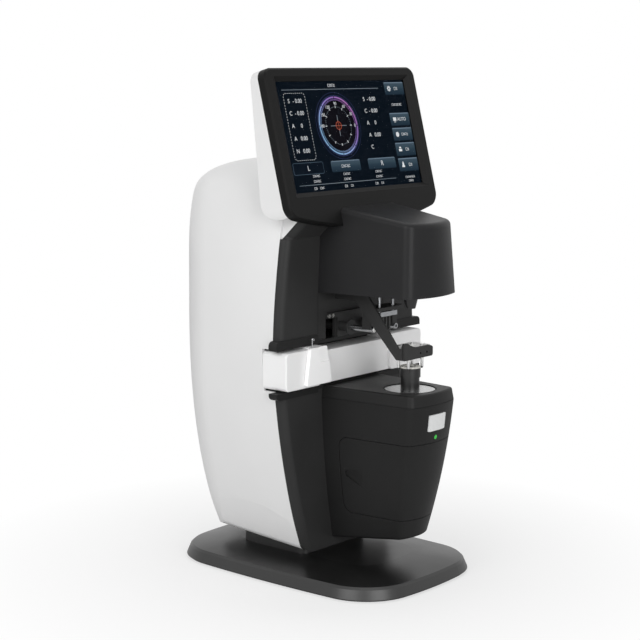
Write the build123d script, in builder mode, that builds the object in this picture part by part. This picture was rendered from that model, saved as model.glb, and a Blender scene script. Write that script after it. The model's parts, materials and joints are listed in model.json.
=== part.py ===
from build123d import *
import math
import os

os.makedirs("parts", exist_ok=True)

# Driving dimensions in millimetres: the front faces -Y, +X is the right, the feet stand on Z = 0

# Fits shared by all pieces
face_gap = 0.3          # between faces that move past each other
seat_gap = 0.2          # between a piece and the pocket that it sits in
running_gap = 0.06      # radial, between a shaft and its bore

# Base and pedestal
foot_h = 2.5
foot_r = 9.0
foot_sink = 1.5
foot_inset_x = 34.0
foot_inset_y = 40.0
base_half_w = 86.5
base_half_d = 127.8
base_side_bow = 5.0
base_end_bow = 9.0
base_corner_r = 50.0
skirt_inset = 2.0
skirt_h = 1.7
rim_h = 8.0
rim_bevel = 3.0
rim_round = 2.0
crown_rise = 6.0
crown_inset = 44.0
base_pocket_inset = 9.0
base_pocket_depth = 5.0
ballast_t = 4.5
pedestal_half_w = 45.0
pedestal_front_y = -14.0
pedestal_rear_y = 64.0
pedestal_corner_r = 9.0
pedestal_sink = 5.0
pedestal_show = 7.9

# Body: white rear shell and black front fascia, one barrel-shaped form
body_half_w = 96.0
body_foot_half_w = 58.8
body_foot_round = 9.0
body_floor_rise = 9.3
body_waist_z = 230.0
body_face_y = -30.0
seam_depth = 8.0
body_rear_y = 111.0
body_foot_rear_y = 97.0
body_shoulder_z = 338.0
body_top_z = 374.0
body_roll_power = 2.5
body_front_r = 7.0
body_rear_r_share = 0.52
body_side_bow = 3.0
body_rear_bow = 9.0
body_wall = 3.0
neck_z = 309.0
body_front_taper = 7.5  # each side, at the neck
body_taper_z = 240.0
neck_rise = 17.0
neck_reach = 16.0

# Display: tilted back, with the foot of the active area as its origin
tilt_deg = 14.33
lcd_foot_y = -42.4
lcd_foot_z = 349.2
lcd_w = 176.6
lcd_h = 96.4
lcd_border = 4.0
lcd_t = 5.0
glass_t = 0.9
bezel_half_w = 103.2
bezel_top = 11.4
bezel_chin = 33.5
bezel_chin_rise = 14.0
bezel_top_r = 9.0
bezel_chin_r = 13.0
bezel_front = 3.4
bezel_back = 5.0
bezel_slope = 4.0
bezel_edge = 1.5
bezel_lip = 0.6
housing_top_t = 7.5
housing_foot_t = 26.0
housing_round = 15.0
housing_wall = 2.5

# Hood over the lens gap
hood_floor_z = 260.0
hood_top_z = 337.5
hood_slope_drop = 13.3
hood_rear_half_w = 45.5
hood_front_half_w = 35.0
hood_side_y = -120.5
hood_front_y = -128.8
hood_top_rear_half_w = 41.0
hood_top_front_half_w = 29.5
hood_top_side_y = -117.0
hood_top_front_y = -124.5
hood_corner_r = 10.0
hood_top_round = 5.0
hood_wall = 2.5

# Measuring box under the nosepiece
deck_z = 176.0
deck_t = 10.5
box_floor_z = 34.0
box_floor_rise = 12.0
box_floor_round = 3.0
box_mid_z = 100.0
box_rear_half_w = 40.5
box_front_half_w = 32.0
box_side_y = -123.0
box_front_y = -128.6
box_mid_rear_half_w = 35.5
box_mid_front_half_w = 28.0
box_mid_side_y = -113.5
box_mid_front_y = -120.5
box_foot_rear_half_w = 25.0
box_foot_front_half_w = 18.5
box_foot_side_y = -100.0
box_foot_front_y = -105.5
box_corner_r = 7.0
box_wall = 2.5
deck_inset = 1.6
deck_round = 2.0
deck_seam = 0.5

# Access cover on the front of the measuring box
cover_rear_y = -47.0
cover_low_z = 62.0
cover_high_z = 131.5
cover_corner_r = 9.0
cover_gap = 0.5
cover_travel = 80.0
grip_y = -51.5
grip_z = 99.0
grip_w = 18.0
grip_rise = 4.5
grip_drop = 11.5
grip_depth = 1.5
grip_round = 2.5

# Memory button and status lamp
button_w = 23.0
button_h = 14.5
button_corner_r = 1.2
button_z = 150.0
button_t = 5.0
button_proud = 0.8
button_travel = 1.2
button_flange = 2.0
lamp_r = 1.9
lamp_z = 136.5
lamp_l = 6.0

# Nosepiece and deck disc, on the measuring axis
nose_y = -97.4
nose_r = 9.2
nose_foot_r = 8.3
nose_bore_r = 5.0
nose_foot_h = 10.4
nose_h = 18.7
nose_ring_h = 1.5
nose_sink = 6.0
disc_r = 22.4
disc_t = 1.2
disc_groove = 1.1
disc_sink = 0.5

# Lens table, its slot and its guide rods
table_inset = 0.4          # behind the widest place of the body
table_low_z = 179.0
table_top_z = 208.0
table_front_y = -34.4
table_rear_y = -10.0
table_end_l = 47.0
table_end_proud = 2.8
table_end_drop = 0.5
table_end_rise = 4.0
table_round = 4.0
table_edge = 1.2
table_travel = 25.0
table_groove_w = 4.0
table_groove_d = 2.0
slot_drop = 1.7            # under the lens table
slot_rise = 0.7            # over the PD slider
slot_wall = 3.0
liner_inset = 4.5          # from the widest place of the body
ear_proud = 5.5            # beside the widest place of the body
ear_inner_x = 46.0
ear_front_y = -31.0
ear_low_h = 6.0
ear_high_h = 8.0
ear_r = 4.5
guide_r = 4.0
guide_x = 62.0
guide_z = 192.0
guide_rear_y = 44.0
bush_wall = 2.0
bush_l = 8.0

# PD slider on the lens table
slider_x = -56.0
slider_half_w = 11.8
slider_foot_half_w = 17.2
slider_low_z = 180.5
slider_t = 3.6
slider_plate_t = 1.2
slider_plate_rear_y = -17.0
slider_travel = 112.0
slider_notch_w = 11.0
slider_notch_h = 12.0
slider_notch_d = 1.6
hook_r = 0.5
hook_h = 8.0
hook_reach = 2.2
hook_offset_x = -6.0
hook_y = -37.5

# Lens holder: arm, head bar, pin plate and sprung pins
arm_x = -20.0
arm_t = 2.4
arm_root_z = 251.6
arm_root_h = 12.0
arm_knee_y = -52.0
arm_step = 2.0
arm_knee_low_y = -100.0
arm_upper_slope = 1.28
arm_round = 6.0
arm_end_y = -98.0
holder_clear = 7.8         # from the nosepiece up to the holder
holder_front_y = -107.5
holder_bar_t = 2.4
holder_bar_h = 14.9
holder_left_x = -21.2
holder_right_x = 19.5
holder_dip = 4.9
holder_dip_w = 24.0
holder_tail_h = 8.3
holder_travel = 22.0
plate_rise = 7.5
plate_t = 2.5
plate_rear_y = -86.0
plate_right_x = 18.0
window_half_w = 6.2
window_half_d = 4.0
pin_pitch_x = 9.7
pin_pitch_y = 5.5
pin_r = 1.3
pin_head_r = 1.9
pin_head_t = 1.0
pin_drop = 10.3            # from the bar's lower edge to the tips
tip_r = 1.5
tip_end_r = 0.8
tip_l = 1.7
pin_bush_r = 1.8
pin_bush_l = 12.5
bar_hole_r = 1.0
bar_hole_x = 1.7
bar_hole_pitch = 9.2
bar_hole_rise = 4.3
bar_corner_r = 2.0
carriage_w = 13.0
carriage_d = 13.0
carriage_h = 18.0
holder_rail_r = 3.0
holder_rail_y = -13.0
holder_rail_low_z = 236.0
holder_rail_high_z = 300.0
rail_arm_t = 4.0
rail_arm_w = 14.0

# Marker unit under the hood
marker_rod_x = 15.5
marker_rod_z = 226.8
marker_rod_r = 2.5
marker_rod_front_y = -69.5
marker_rod_rear_y = 14.0
rod_socket_r = 1.5
rod_socket_d = 2.0
rod_cap_r = 2.0
rod_cap_l = 1.2
rod_bush_wall = 1.8
rod_bush_front_y = -44.0
rod_bush_rear_y = -12.0
rod_flange_r = 6.8
rod_flange_t = 1.6
marker_y = -70.0
marker_leg_front_y = -67.5
marker_leg_rear_y = -58.0
marker_leg_half_w = 2.8
marker_leg_out_w = 4.0
marker_bridge_z = 243.2
marker_bridge_t = 3.0
marker_bridge_lead = 5.0
marker_head_half_w = 11.8
marker_head_d = 7.0
marker_head_t = 4.0
marker_head_z = 238.0
marker_post_r = 1.3
marker_post_x = 9.5
marker_post_top_z = 282.0
pen_r = 1.4
pen_tip_r = 0.5
pen_tip_l = 2.5
pen_pitch = 4.4
pen_low_z = 221.5
bracket_half_w = 35.0
bracket_plate_half_w = 20.6
bracket_plate_rise = 17.5
bracket_high_z = 240.0
bracket_t = 1.6
bracket_lip = 2.4
bracket_lip_t = 0.8
bracket_screw_z = 237.4
bracket_screw_x = 27.8
bracket_screw_pitch = 5.0
seam_w = 0.5
seam_d = 0.6

# Light source in the hood, on the measuring axis
nozzle_low_z = 247.0
nozzle_r = 6.4
nozzle_tip_r = 4.2
nozzle_taper_h = 9.0
nozzle_bore_r = 3.2
condenser_r = 5.0
nozzle_flange_r = 13.0
nozzle_flange_t = 2.5
condenser_z = 285.0
condenser_t = 1.5
condenser_bulge = 2.0
lamp_board_half = 13.0
lamp_board_t = 1.6
led_half = 1.8
led_t = 1.2
heatsink_half = 14.0
heatsink_h = 10.0
heatsink_plate_t = 2.0
heatsink_fins = 6
heatsink_fin_t = 1.2
optic_arm_t = 3.0
optic_arm_half_w = 16.0
optic_arm_left_x = -4.0
optic_arm_z = 301.0
optic_arm_front_y = -113.0

# Measuring tube and sensor in the box
tube_r = 10.5
tube_bore_r = 8.5
tube_low_z = 82.0
sensor_half = 10.0
sensor_t = 1.6
chip_half = 4.0
chip_t = 1.4
objective_z = 150.0
objective_t = 1.5
objective_bulge = 2.5
tube_arm_z = 100.0
tube_arm_t = 3.0
tube_arm_half_w = 14.0

# Chassis, boards and rear panel
spine_y = 20.0
spine_t = 2.0
spine_half_w = 44.0
spine_top_z = 350.0
spine_foot_d = 38.0
spine_foot_h = 12.0
stay_half_w = 30.0
stay_reach = 60.0
board_half_w = 38.0
board_low_z = 225.0
board_high_z = 310.0
board_t = 1.6
board_chip_half = 12.0
board_chip_t = 3.0
standoff_r = 3.0
standoff_l = 8.0
standoff_inset = 6.0
supply_half_w = 34.0
supply_low_z = 90.0
supply_high_z = 165.0
supply_d = 34.0
panel_half_w = 36.0
panel_low_z = 52.0
panel_high_z = 84.0
panel_t = 4.0
panel_y = 103.0
inlet_half_w = 13.5
inlet_half_h = 10.0
inlet_x = 12.0
inlet_depth = 18.0
inlet_wall = 1.8
inlet_pin_half_w = 1.0
inlet_pin_half_h = 2.0
inlet_pin_l = 12.0
inlet_pin_pitch = 7.0
rocker_x = -13.5
rocker_half_w = 6.5
rocker_r = 9.5
rocker_show = 1.5
rocker_notch = 2.0
rocker_swing = 16.0
port_half = 4.5
port_x = -27.5
port_wall = 0.8
port_depth = 12.0
port_tongue_half = 2.5
screw_head_r = 1.7
screw_head_t = 1.2
screw_slot_w = 0.6

# Heights and planes that follow from the driving dimensions
skirt_top_z = foot_h - foot_sink + skirt_h
rim_low_z = skirt_top_z
rim_top_z = rim_low_z + rim_h + rim_round
crown_z = rim_top_z + crown_rise
pedestal_low_z = crown_z - pedestal_sink
body_foot_z = crown_z + pedestal_show
seam_y = body_face_y + seam_depth
far = 2 * body_half_w
table_half_w = body_half_w - table_inset
liner_half_w = body_half_w - liner_inset
ear_half_w = body_half_w + ear_proud
slider_top_z = table_top_z + table_end_rise + face_gap
slot_low_z = table_low_z - table_end_drop - slot_drop
slot_high_z = slider_top_z + slider_plate_t + slot_rise
slot_rear_y = table_rear_y + face_gap
nose_top_z = deck_z + nose_h
arm_end_z = nose_top_z + nose_ring_h + holder_clear
plate_z = arm_end_z + plate_rise
pin_low_z = arm_end_z - pin_drop + tip_l


def box_between(low, high):
    """A plain block between two opposite corners, kept for cutting tools."""
    size = [b - a for a, b in zip(low, high)]
    return Pos(*low) * Box(*size, align=(Align.MIN, Align.MIN, Align.MIN), mode=Mode.PRIVATE)


# Base, with a bevelled rim and a low crown
def base_outline(z, inset):
    half_w = base_half_w - inset
    half_d = base_half_d - inset
    share = half_w / base_half_w
    side = half_w - base_side_bow * share
    end = half_d - base_end_bow * share
    with BuildSketch(Plane.XY.offset(z)) as outline:
        with BuildLine():
            ThreePointArc((-side, -end), (0, -half_d), (side, -end))
            ThreePointArc((side, -end), (half_w, 0), (side, end))
            ThreePointArc((side, end), (0, half_d), (-side, end))
            ThreePointArc((-side, end), (-half_w, 0), (-side, -end))
        make_face()
        fillet(outline.vertices(), base_corner_r * share)
    return outline.sketch


with BuildPart() as base_plate:
    loft(sections=[base_outline(rim_low_z, 0), base_outline(rim_low_z + rim_h, rim_bevel),
                   base_outline(rim_top_z, rim_bevel + rim_round)], ruled=True)
    loft(sections=[base_outline(rim_top_z, rim_bevel + rim_round),
                   base_outline(rim_top_z + 0.62 * crown_rise, 0.5 * crown_inset),
                   base_outline(crown_z, crown_inset)])
    extrude(base_outline(rim_low_z, skirt_inset), amount=-skirt_h)
    extrude(base_outline(rim_low_z - skirt_h, base_pocket_inset), amount=base_pocket_depth,
            mode=Mode.SUBTRACT)
    with BuildSketch(Plane.XY.offset(pedestal_low_z)):
        with Locations((0, (pedestal_front_y + pedestal_rear_y) / 2)):
            RectangleRounded(2 * (pedestal_half_w + seat_gap),
                             pedestal_rear_y - pedestal_front_y + 2 * seat_gap,
                             pedestal_corner_r + seat_gap)
    extrude(amount=far, mode=Mode.SUBTRACT)
base_plate.part.label = "base_plate"
export_step(base_plate.part, "parts/base_plate.step")

foot_x = base_half_w - foot_inset_x
foot_y = base_half_d - foot_inset_y
pocket_top_z = rim_low_z - skirt_h + base_pocket_depth
with BuildPart() as ballast_plate:
    extrude(base_outline(pocket_top_z, base_pocket_inset + seat_gap), amount=-ballast_t)
    with Locations((0, 0, pocket_top_z - ballast_t)):
        with Locations(*[(x, y) for x in (-foot_x, foot_x) for y in (-foot_y, foot_y)]):
            Cylinder(foot_r + seat_gap, foot_sink, align=(Align.CENTER, Align.CENTER, Align.MIN),
                     mode=Mode.SUBTRACT)
ballast_plate.part.label = "ballast_plate"
export_step(ballast_plate.part, "parts/ballast_plate.step")

with BuildPart() as rubber_feet:
    with Locations(*[(x, y) for x in (-foot_x, foot_x) for y in (-foot_y, foot_y)]):
        Cylinder(foot_r, pocket_top_z - ballast_t + foot_sink,
                 align=(Align.CENTER, Align.CENTER, Align.MIN))
    chamfer(rubber_feet.edges().group_by(Axis.Z)[0], foot_sink / 2)
rubber_feet.part.label = "rubber_feet"
export_step(rubber_feet.part, "parts/rubber_feet.step")


# The body's floor rises towards the rear, and the pedestal's top follows it
floor_slope = math.atan2(body_floor_rise, body_rear_y - body_face_y)


def body_floor(inset):
    return Plane((0, body_face_y, body_foot_z + inset),
                 z_dir=(0, -math.sin(floor_slope), math.cos(floor_slope)))


def keel_plane(inset):
    return Plane((0, body_face_y, body_foot_z + inset), x_dir=(1, 0, 0),
                 z_dir=(0, -math.cos(floor_slope), -math.sin(floor_slope)))


with BuildPart() as pedestal:
    with BuildSketch(Plane.XY.offset(pedestal_low_z)):
        with Locations((0, (pedestal_front_y + pedestal_rear_y) / 2)):
            RectangleRounded(2 * pedestal_half_w, pedestal_rear_y - pedestal_front_y, pedestal_corner_r)
    extrude(amount=body_foot_z + body_floor_rise - pedestal_low_z)
    split(bisect_by=body_floor(0), keep=Keep.BOTTOM)
pedestal.part.label = "pedestal"
export_step(pedestal.part, "parts/pedestal.step")


# Body form: a barrel in front view, rolled over at the top, and narrower in front at the neck
def body_width(z):
    waist_drop = ((z - body_waist_z) / (body_foot_z - body_waist_z)) ** 2
    return body_half_w - (body_half_w - body_foot_half_w) * waist_drop


def front_taper(z):
    return body_front_taper * min(1, max(0, (z - body_taper_z) / (neck_z - body_taper_z)))


def body_outline(z, inset):
    half_w = body_width(z)
    foot_share = max(0, (body_waist_z - z) / (body_waist_z - body_foot_z)) ** 4
    rear_y = body_rear_y - (body_rear_y - body_foot_rear_y) * foot_share
    roll = max(0, (z - body_shoulder_z) / (1.03 * (body_top_z - inset - body_shoulder_z)))
    shrink = (1 - roll ** body_roll_power) ** (1 / body_roll_power)
    half_w = half_w * shrink - inset
    depth = (rear_y - body_face_y) * math.sqrt(shrink) - 2 * inset
    front = body_face_y + inset
    rear = front + depth
    side = half_w - body_side_bow * shrink
    front_w = half_w - front_taper(z) * shrink
    corner = rear - body_rear_bow * shrink
    with BuildSketch(Plane.XY.offset(z)) as outline:
        with BuildLine():
            Line((-front_w, front), (front_w, front))
            ThreePointArc((front_w, front), (half_w, (front + corner) / 3), (side, corner))
            ThreePointArc((side, corner), (0, rear), (-side, corner))
            ThreePointArc((-side, corner), (-half_w, (front + corner) / 3), (-front_w, front))
        make_face()
        fillet(outline.vertices().group_by(Axis.Y)[0], max(body_front_r - inset, 1))
        fillet(outline.vertices().group_by(Axis.Y)[-1], body_rear_r_share * half_w)
    return outline.sketch


def body_form(inset):
    low = body_foot_z + inset
    high = body_top_z - inset
    rise = body_shoulder_z - low
    roll = high - body_shoulder_z
    levels = [low + share * rise for share in (0, 0.06, 0.2, 0.4, 0.6, 0.8, 1)]
    levels += [body_shoulder_z + share * roll for share in (0.4, 0.66, 0.84, 0.95, 1)]
    foot = body_foot_half_w - inset
    flare = 2 * (body_half_w - body_foot_half_w) / (body_waist_z - body_foot_z)
    with BuildPart() as form:
        loft(sections=[body_outline(z, inset) for z in levels])
        with BuildSketch(keel_plane(inset)) as keel:
            with BuildLine():
                Polyline((-foot, 0), (foot, 0), (foot + flare * body_top_z, body_top_z),
                         (-foot - flare * body_top_z, body_top_z), close=True)
            make_face()
            fillet(keel.vertices().group_by(Axis.Y)[0], body_foot_round - inset)
        extrude(amount=far, both=True, mode=Mode.INTERSECT)
    return form.part


body_outer = body_form(0)
body_inner = body_form(body_wall)


# Display: every piece is drawn on the tilted screen plane
tilt = math.radians(tilt_deg)
screen_normal = (0, -math.cos(tilt), math.sin(tilt))
screen = Plane(origin=(0, lcd_foot_y, lcd_foot_z), x_dir=(1, 0, 0), z_dir=screen_normal)
screen_side = Plane(origin=(0, lcd_foot_y, lcd_foot_z), x_dir=screen_normal, z_dir=(-1, 0, 0))
screen_top = lcd_h + bezel_top


def bezel_outline(offset, inset):
    half_w = bezel_half_w - inset
    top = screen_top - inset
    chin = -bezel_chin + inset
    shoulder = chin + bezel_chin_rise
    with BuildSketch(screen.offset(offset)) as outline:
        with BuildLine():
            Line((-half_w, shoulder), (-half_w, top))
            Line((-half_w, top), (half_w, top))
            Line((half_w, top), (half_w, shoulder))
            ThreePointArc((half_w, shoulder), (0, chin), (-half_w, shoulder))
        make_face()
        fillet(outline.vertices().group_by(Axis.Y)[-1], bezel_top_r - inset)
        fillet(outline.vertices().group_by(Axis.Y)[0], bezel_chin_r - inset)
    return outline.sketch


def screen_rectangle(offset, border):
    with BuildSketch(screen.offset(offset)) as rectangle:
        with Locations((0, lcd_h / 2)):
            Rectangle(lcd_w + 2 * border, lcd_h + 2 * border)
    return rectangle.sketch


def housing_profile(inset):
    foot = -bezel_chin + bezel_chin_rise + face_gap + inset
    front = -bezel_back - inset
    with BuildSketch(screen_side) as profile:
        with BuildLine():
            Polyline((front, foot), (front, screen_top - inset),
                     (-bezel_back - housing_top_t + inset, screen_top - inset),
                     (-bezel_back - housing_foot_t + inset, foot), close=True)
        make_face()
        fillet(profile.vertices().sort_by_distance((-bezel_back - housing_foot_t, foot))[0],
               housing_round - inset)
    return profile.sketch


glass_pocket = lcd_border + seat_gap
with BuildPart() as display_bezel:
    extrude(bezel_outline(-bezel_back, 0), amount=bezel_back + bezel_front)
    chamfer(display_bezel.faces().sort_by(Axis(screen.origin, screen.z_dir))[-1].edges(), bezel_edge)
    extrude(screen_rectangle(0, 0), amount=bezel_front, mode=Mode.SUBTRACT)
    loft(sections=[screen_rectangle(bezel_lip, 0), screen_rectangle(bezel_front, bezel_slope)],
         ruled=True, mode=Mode.SUBTRACT)
    extrude(screen_rectangle(0, glass_pocket), amount=-bezel_back, mode=Mode.SUBTRACT)
display_bezel.part.label = "display_bezel"
export_step(display_bezel.part, "parts/display_bezel.step")

with BuildPart() as touch_glass:
    extrude(screen_rectangle(0, lcd_border), amount=-glass_t)
touch_glass.part.label = "touch_glass"
export_step(touch_glass.part, "parts/touch_glass.step")

with BuildPart() as lcd_panel:
    extrude(screen_rectangle(-glass_t, lcd_border), amount=-lcd_t)
lcd_panel.part.label = "lcd_panel"
export_step(lcd_panel.part, "parts/lcd_panel.step")


def housing_form(inset):
    with BuildPart() as form:
        extrude(bezel_outline(-bezel_back, inset), amount=-2 * housing_foot_t)
        extrude(housing_profile(inset), amount=bezel_half_w, both=True, mode=Mode.INTERSECT)
    return form.part


housing_outer = housing_form(0)
with BuildPart() as display_envelope:
    add(housing_outer)
    extrude(bezel_outline(-bezel_back, 0), amount=bezel_back + bezel_front)

with BuildPart() as display_housing:
    add(housing_outer)
    add(housing_form(housing_wall), mode=Mode.SUBTRACT)
    extrude(screen_rectangle(-bezel_back, glass_pocket), amount=-housing_wall, mode=Mode.SUBTRACT)
display_housing.part.label = "display_housing"
export_step(display_housing.part, "parts/display_housing.step")

# Slot frame: a liner round the lens table, with a rounded strip above and below each end
liner_low_z = slot_low_z - slot_wall
liner_high_z = slot_high_z + slot_wall
liner_rear_y = slot_rear_y + slot_wall
boss_r = guide_r + bush_wall + slot_wall
ear_low_z = slot_low_z - ear_low_h
ear_high_z = slot_high_z + ear_high_h
with BuildPart() as slot_frame:
    add(box_between((-liner_half_w, ear_front_y, liner_low_z),
                    (liner_half_w, liner_rear_y, liner_high_z)))
    with BuildSketch(Plane.XZ.offset(-ear_front_y)):
        with Locations((0, (ear_low_z + ear_high_z) / 2)):
            RectangleRounded(2 * ear_half_w, ear_high_z - ear_low_z, ear_r)
            Rectangle(2 * ear_inner_x, far, mode=Mode.SUBTRACT)
    extrude(amount=ear_front_y - seam_y)
    add(box_between((-ear_half_w, -far, slot_low_z), (ear_half_w, slot_rear_y, slot_high_z)),
        mode=Mode.SUBTRACT)
    with BuildSketch(Plane.XZ.offset(-slot_rear_y)):
        with Locations((-guide_x, guide_z), (guide_x, guide_z)):
            Circle(boss_r)
    extrude(amount=-(bush_l + slot_wall))
    with BuildSketch(Plane.XZ.offset(-slot_rear_y)):
        with Locations((-guide_x, guide_z), (guide_x, guide_z)):
            Circle(guide_r + bush_wall)
    extrude(amount=-far, mode=Mode.SUBTRACT)
slot_frame.part.label = "slot_frame"
export_step(slot_frame.part, "parts/slot_frame.step")

with BuildPart() as slot_envelope:
    add(slot_frame.part)
    add(box_between((-far, -far, slot_low_z), (far, slot_rear_y, slot_high_z)))
    add(box_between((-liner_half_w, -far, liner_low_z), (liner_half_w, liner_rear_y, liner_high_z)))

with BuildPart() as guide_bushes:
    with BuildSketch(Plane.XZ.offset(-slot_rear_y)):
        with Locations((-guide_x, guide_z), (guide_x, guide_z)):
            Circle(guide_r + bush_wall)
            Circle(guide_r + running_gap, mode=Mode.SUBTRACT)
    extrude(amount=-(bush_l + slot_wall))
guide_bushes.part.label = "guide_bushes"
export_step(guide_bushes.part, "parts/guide_bushes.step")

# Neck: where the column leans forward to the chin of the display; its rear part is white, like the
# shell behind it, and the black face stays as deep as it is below
neck_low_z = neck_z - seam_depth
neck_top_z = neck_z + 2 * neck_rise
with BuildPart() as neck_whole:
    with BuildSketch(Plane.YZ):
        with BuildLine():
            Polyline((seam_y, neck_low_z), (body_face_y, neck_low_z), (body_face_y, neck_z),
                     (body_face_y - neck_reach, neck_z + neck_rise), (body_face_y - neck_reach, neck_top_z),
                     (seam_y, neck_top_z), close=True)
        make_face()
    extrude(amount=body_half_w, both=True)
    with BuildSketch(Plane.XZ):
        neck_levels = (neck_low_z, (neck_low_z + neck_top_z) / 2, neck_top_z)
        low, middle, high = [(body_width(z) - front_taper(z), z) for z in neck_levels]
        with BuildLine():
            Line((-low[0], low[1]), low)
            ThreePointArc(low, middle, high)
            Line(high, (-high[0], high[1]))
            ThreePointArc((-high[0], high[1]), (-middle[0], middle[1]), (-low[0], low[1]))
        make_face()
    extrude(amount=far, both=True, mode=Mode.INTERSECT)
    fillet([edge for edge in neck_whole.edges() if abs(edge.center().X) > high[0] - face_gap
            and neck_low_z + face_gap < edge.center().Z < neck_top_z - face_gap
            and edge.center().Y < seam_y - face_gap], body_front_r)

with BuildPart() as neck_rear:
    with BuildSketch(Plane.YZ):
        with BuildLine():
            Polyline((seam_y, neck_z), (seam_y - neck_reach, neck_z + neck_rise),
                     (seam_y - neck_reach, neck_top_z), (seam_y, neck_top_z), close=True)
        make_face()
    extrude(amount=body_half_w, both=True)
    add(neck_whole.part, mode=Mode.INTERSECT)

with BuildPart() as neck:
    add(neck_whole.part)
    add(neck_rear.part, mode=Mode.SUBTRACT)

# Rear cover: the white shell behind the seam
with BuildPart() as rear_cover:
    add(body_outer)
    add(body_inner, mode=Mode.SUBTRACT)
    split(bisect_by=Plane((0, seam_y, 0), z_dir=(0, 1, 0)))
    add(neck_rear.part)
    add(display_envelope.part, mode=Mode.SUBTRACT)
    add(slot_envelope.part, mode=Mode.SUBTRACT)
    add(box_between((-panel_half_w, panel_y - 4 * panel_t, panel_low_z),
                    (panel_half_w, far, panel_high_z)), mode=Mode.SUBTRACT)
rear_cover.part.label = "rear_cover"
export_step(rear_cover.part, "parts/rear_cover.step")

# Front fascia: the black column in front of the seam, which the slot parts in two
lift_slot_half = arm_t / 2 + face_gap
bracket_low_z = liner_high_z + face_gap
rod_places = [(-marker_rod_x, marker_rod_z), (marker_rod_x, marker_rod_z)]
rod_bush_r = marker_rod_r + rod_bush_wall
with BuildPart() as fascia:
    add(body_outer)
    add(body_inner, mode=Mode.SUBTRACT)
    split(bisect_by=Plane((0, seam_y, 0), z_dir=(0, 1, 0)), keep=Keep.BOTTOM)
    add(box_between((-far, -far, neck_z), (far, seam_y, body_top_z)), mode=Mode.SUBTRACT)
    add(neck.part)
    add(display_envelope.part, mode=Mode.SUBTRACT)
    add(slot_envelope.part, mode=Mode.SUBTRACT)
    add(box_between((arm_x - lift_slot_half, -far, arm_root_z - face_gap),
                    (arm_x + lift_slot_half, seam_y, arm_root_z + arm_root_h + holder_travel + face_gap)),
        mode=Mode.SUBTRACT)
    add(box_between((optic_arm_left_x, -far, optic_arm_z - optic_arm_t),
                    (optic_arm_half_w, seam_y, optic_arm_z)), mode=Mode.SUBTRACT)
    add(box_between((-tube_arm_half_w, -far, tube_arm_z - tube_arm_t),
                    (tube_arm_half_w, seam_y, tube_arm_z)), mode=Mode.SUBTRACT)
    for side in (-1, 1):
        inner, outer = sorted((side * (bracket_plate_half_w + bracket_t), side * bracket_half_w))
        add(box_between((inner, -far, liner_high_z), (outer, seam_y, bracket_low_z + bracket_plate_rise)),
            mode=Mode.SUBTRACT)
        seam_x = side * (ear_inner_x - seam_w)
        add(box_between((seam_x - seam_w / 2, -far, ear_high_z), (seam_x + seam_w / 2, body_face_y + seam_d,
                                                                  hood_floor_z)), mode=Mode.SUBTRACT)
    with BuildSketch(Plane.XZ.offset(-body_face_y)):
        with Locations(*rod_places):
            Circle(rod_bush_r + seat_gap)
    extrude(amount=-far, mode=Mode.SUBTRACT)

with BuildPart() as upper_fascia:
    add(fascia.part)
    split(bisect_by=Plane.XY.offset(guide_z), keep=Keep.TOP)
upper_fascia.part.label = "upper_fascia"
export_step(upper_fascia.part, "parts/upper_fascia.step")

with BuildPart() as lower_fascia:
    add(fascia.part)
    split(bisect_by=Plane.XY.offset(guide_z), keep=Keep.BOTTOM)
lower_fascia.part.label = "lower_fascia"
export_step(lower_fascia.part, "parts/lower_fascia.step")


# Tapered forms of the hood and the measuring box, seen from above
def nose_outline(z, rear_half_w, front_half_w, side_y, front_y, inset, corner_r=hood_corner_r):
    rear = rear_half_w - inset
    front = front_half_w - inset
    rear_y = body_face_y
    with BuildSketch(Plane.XY.offset(z)) as outline:
        with BuildLine():
            Line((rear, rear_y), (-rear, rear_y))
            Line((-rear, rear_y), (-front, side_y + inset))
            ThreePointArc((-front, side_y + inset), (0, front_y + inset), (front, side_y + inset))
            Line((front, side_y + inset), (rear, rear_y))
        make_face()
        fillet(outline.vertices().group_by(Axis.Y)[0], max(corner_r - inset, 1))
    return outline.sketch


def hood_form(inset, floor_z):
    with BuildPart() as form:
        loft(sections=[nose_outline(floor_z, hood_rear_half_w, hood_front_half_w, hood_side_y,
                                    hood_front_y, inset),
                       nose_outline(hood_top_z, hood_top_rear_half_w, hood_top_front_half_w,
                                    hood_top_side_y, hood_top_front_y, inset)])
        slope_foot = (0, hood_top_side_y, hood_top_z - hood_slope_drop - inset)
        slope = math.atan2(hood_slope_drop, body_face_y - hood_top_side_y)
        split(bisect_by=Plane(slope_foot, z_dir=(0, -math.sin(slope), math.cos(slope))),
              keep=Keep.BOTTOM)
        if hood_top_round > inset:
            top = form.faces().sort_by(Axis.Z)[-1]
            rear = top.edges().sort_by(Axis.Y)[-1]
            fillet([edge for edge in top.edges() if edge != rear], hood_top_round - inset)
    return form.part


with BuildPart() as hood:
    add(hood_form(0, hood_floor_z))
    add(hood_form(hood_wall, hood_floor_z), mode=Mode.SUBTRACT)
    add(display_envelope.part, mode=Mode.SUBTRACT)
    add(neck_whole.part, mode=Mode.SUBTRACT)
hood.part.label = "hood"
export_step(hood.part, "parts/hood.step")


# Measuring box: the same tapered form, narrower towards its foot
cap_low_z = deck_z - deck_t


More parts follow.
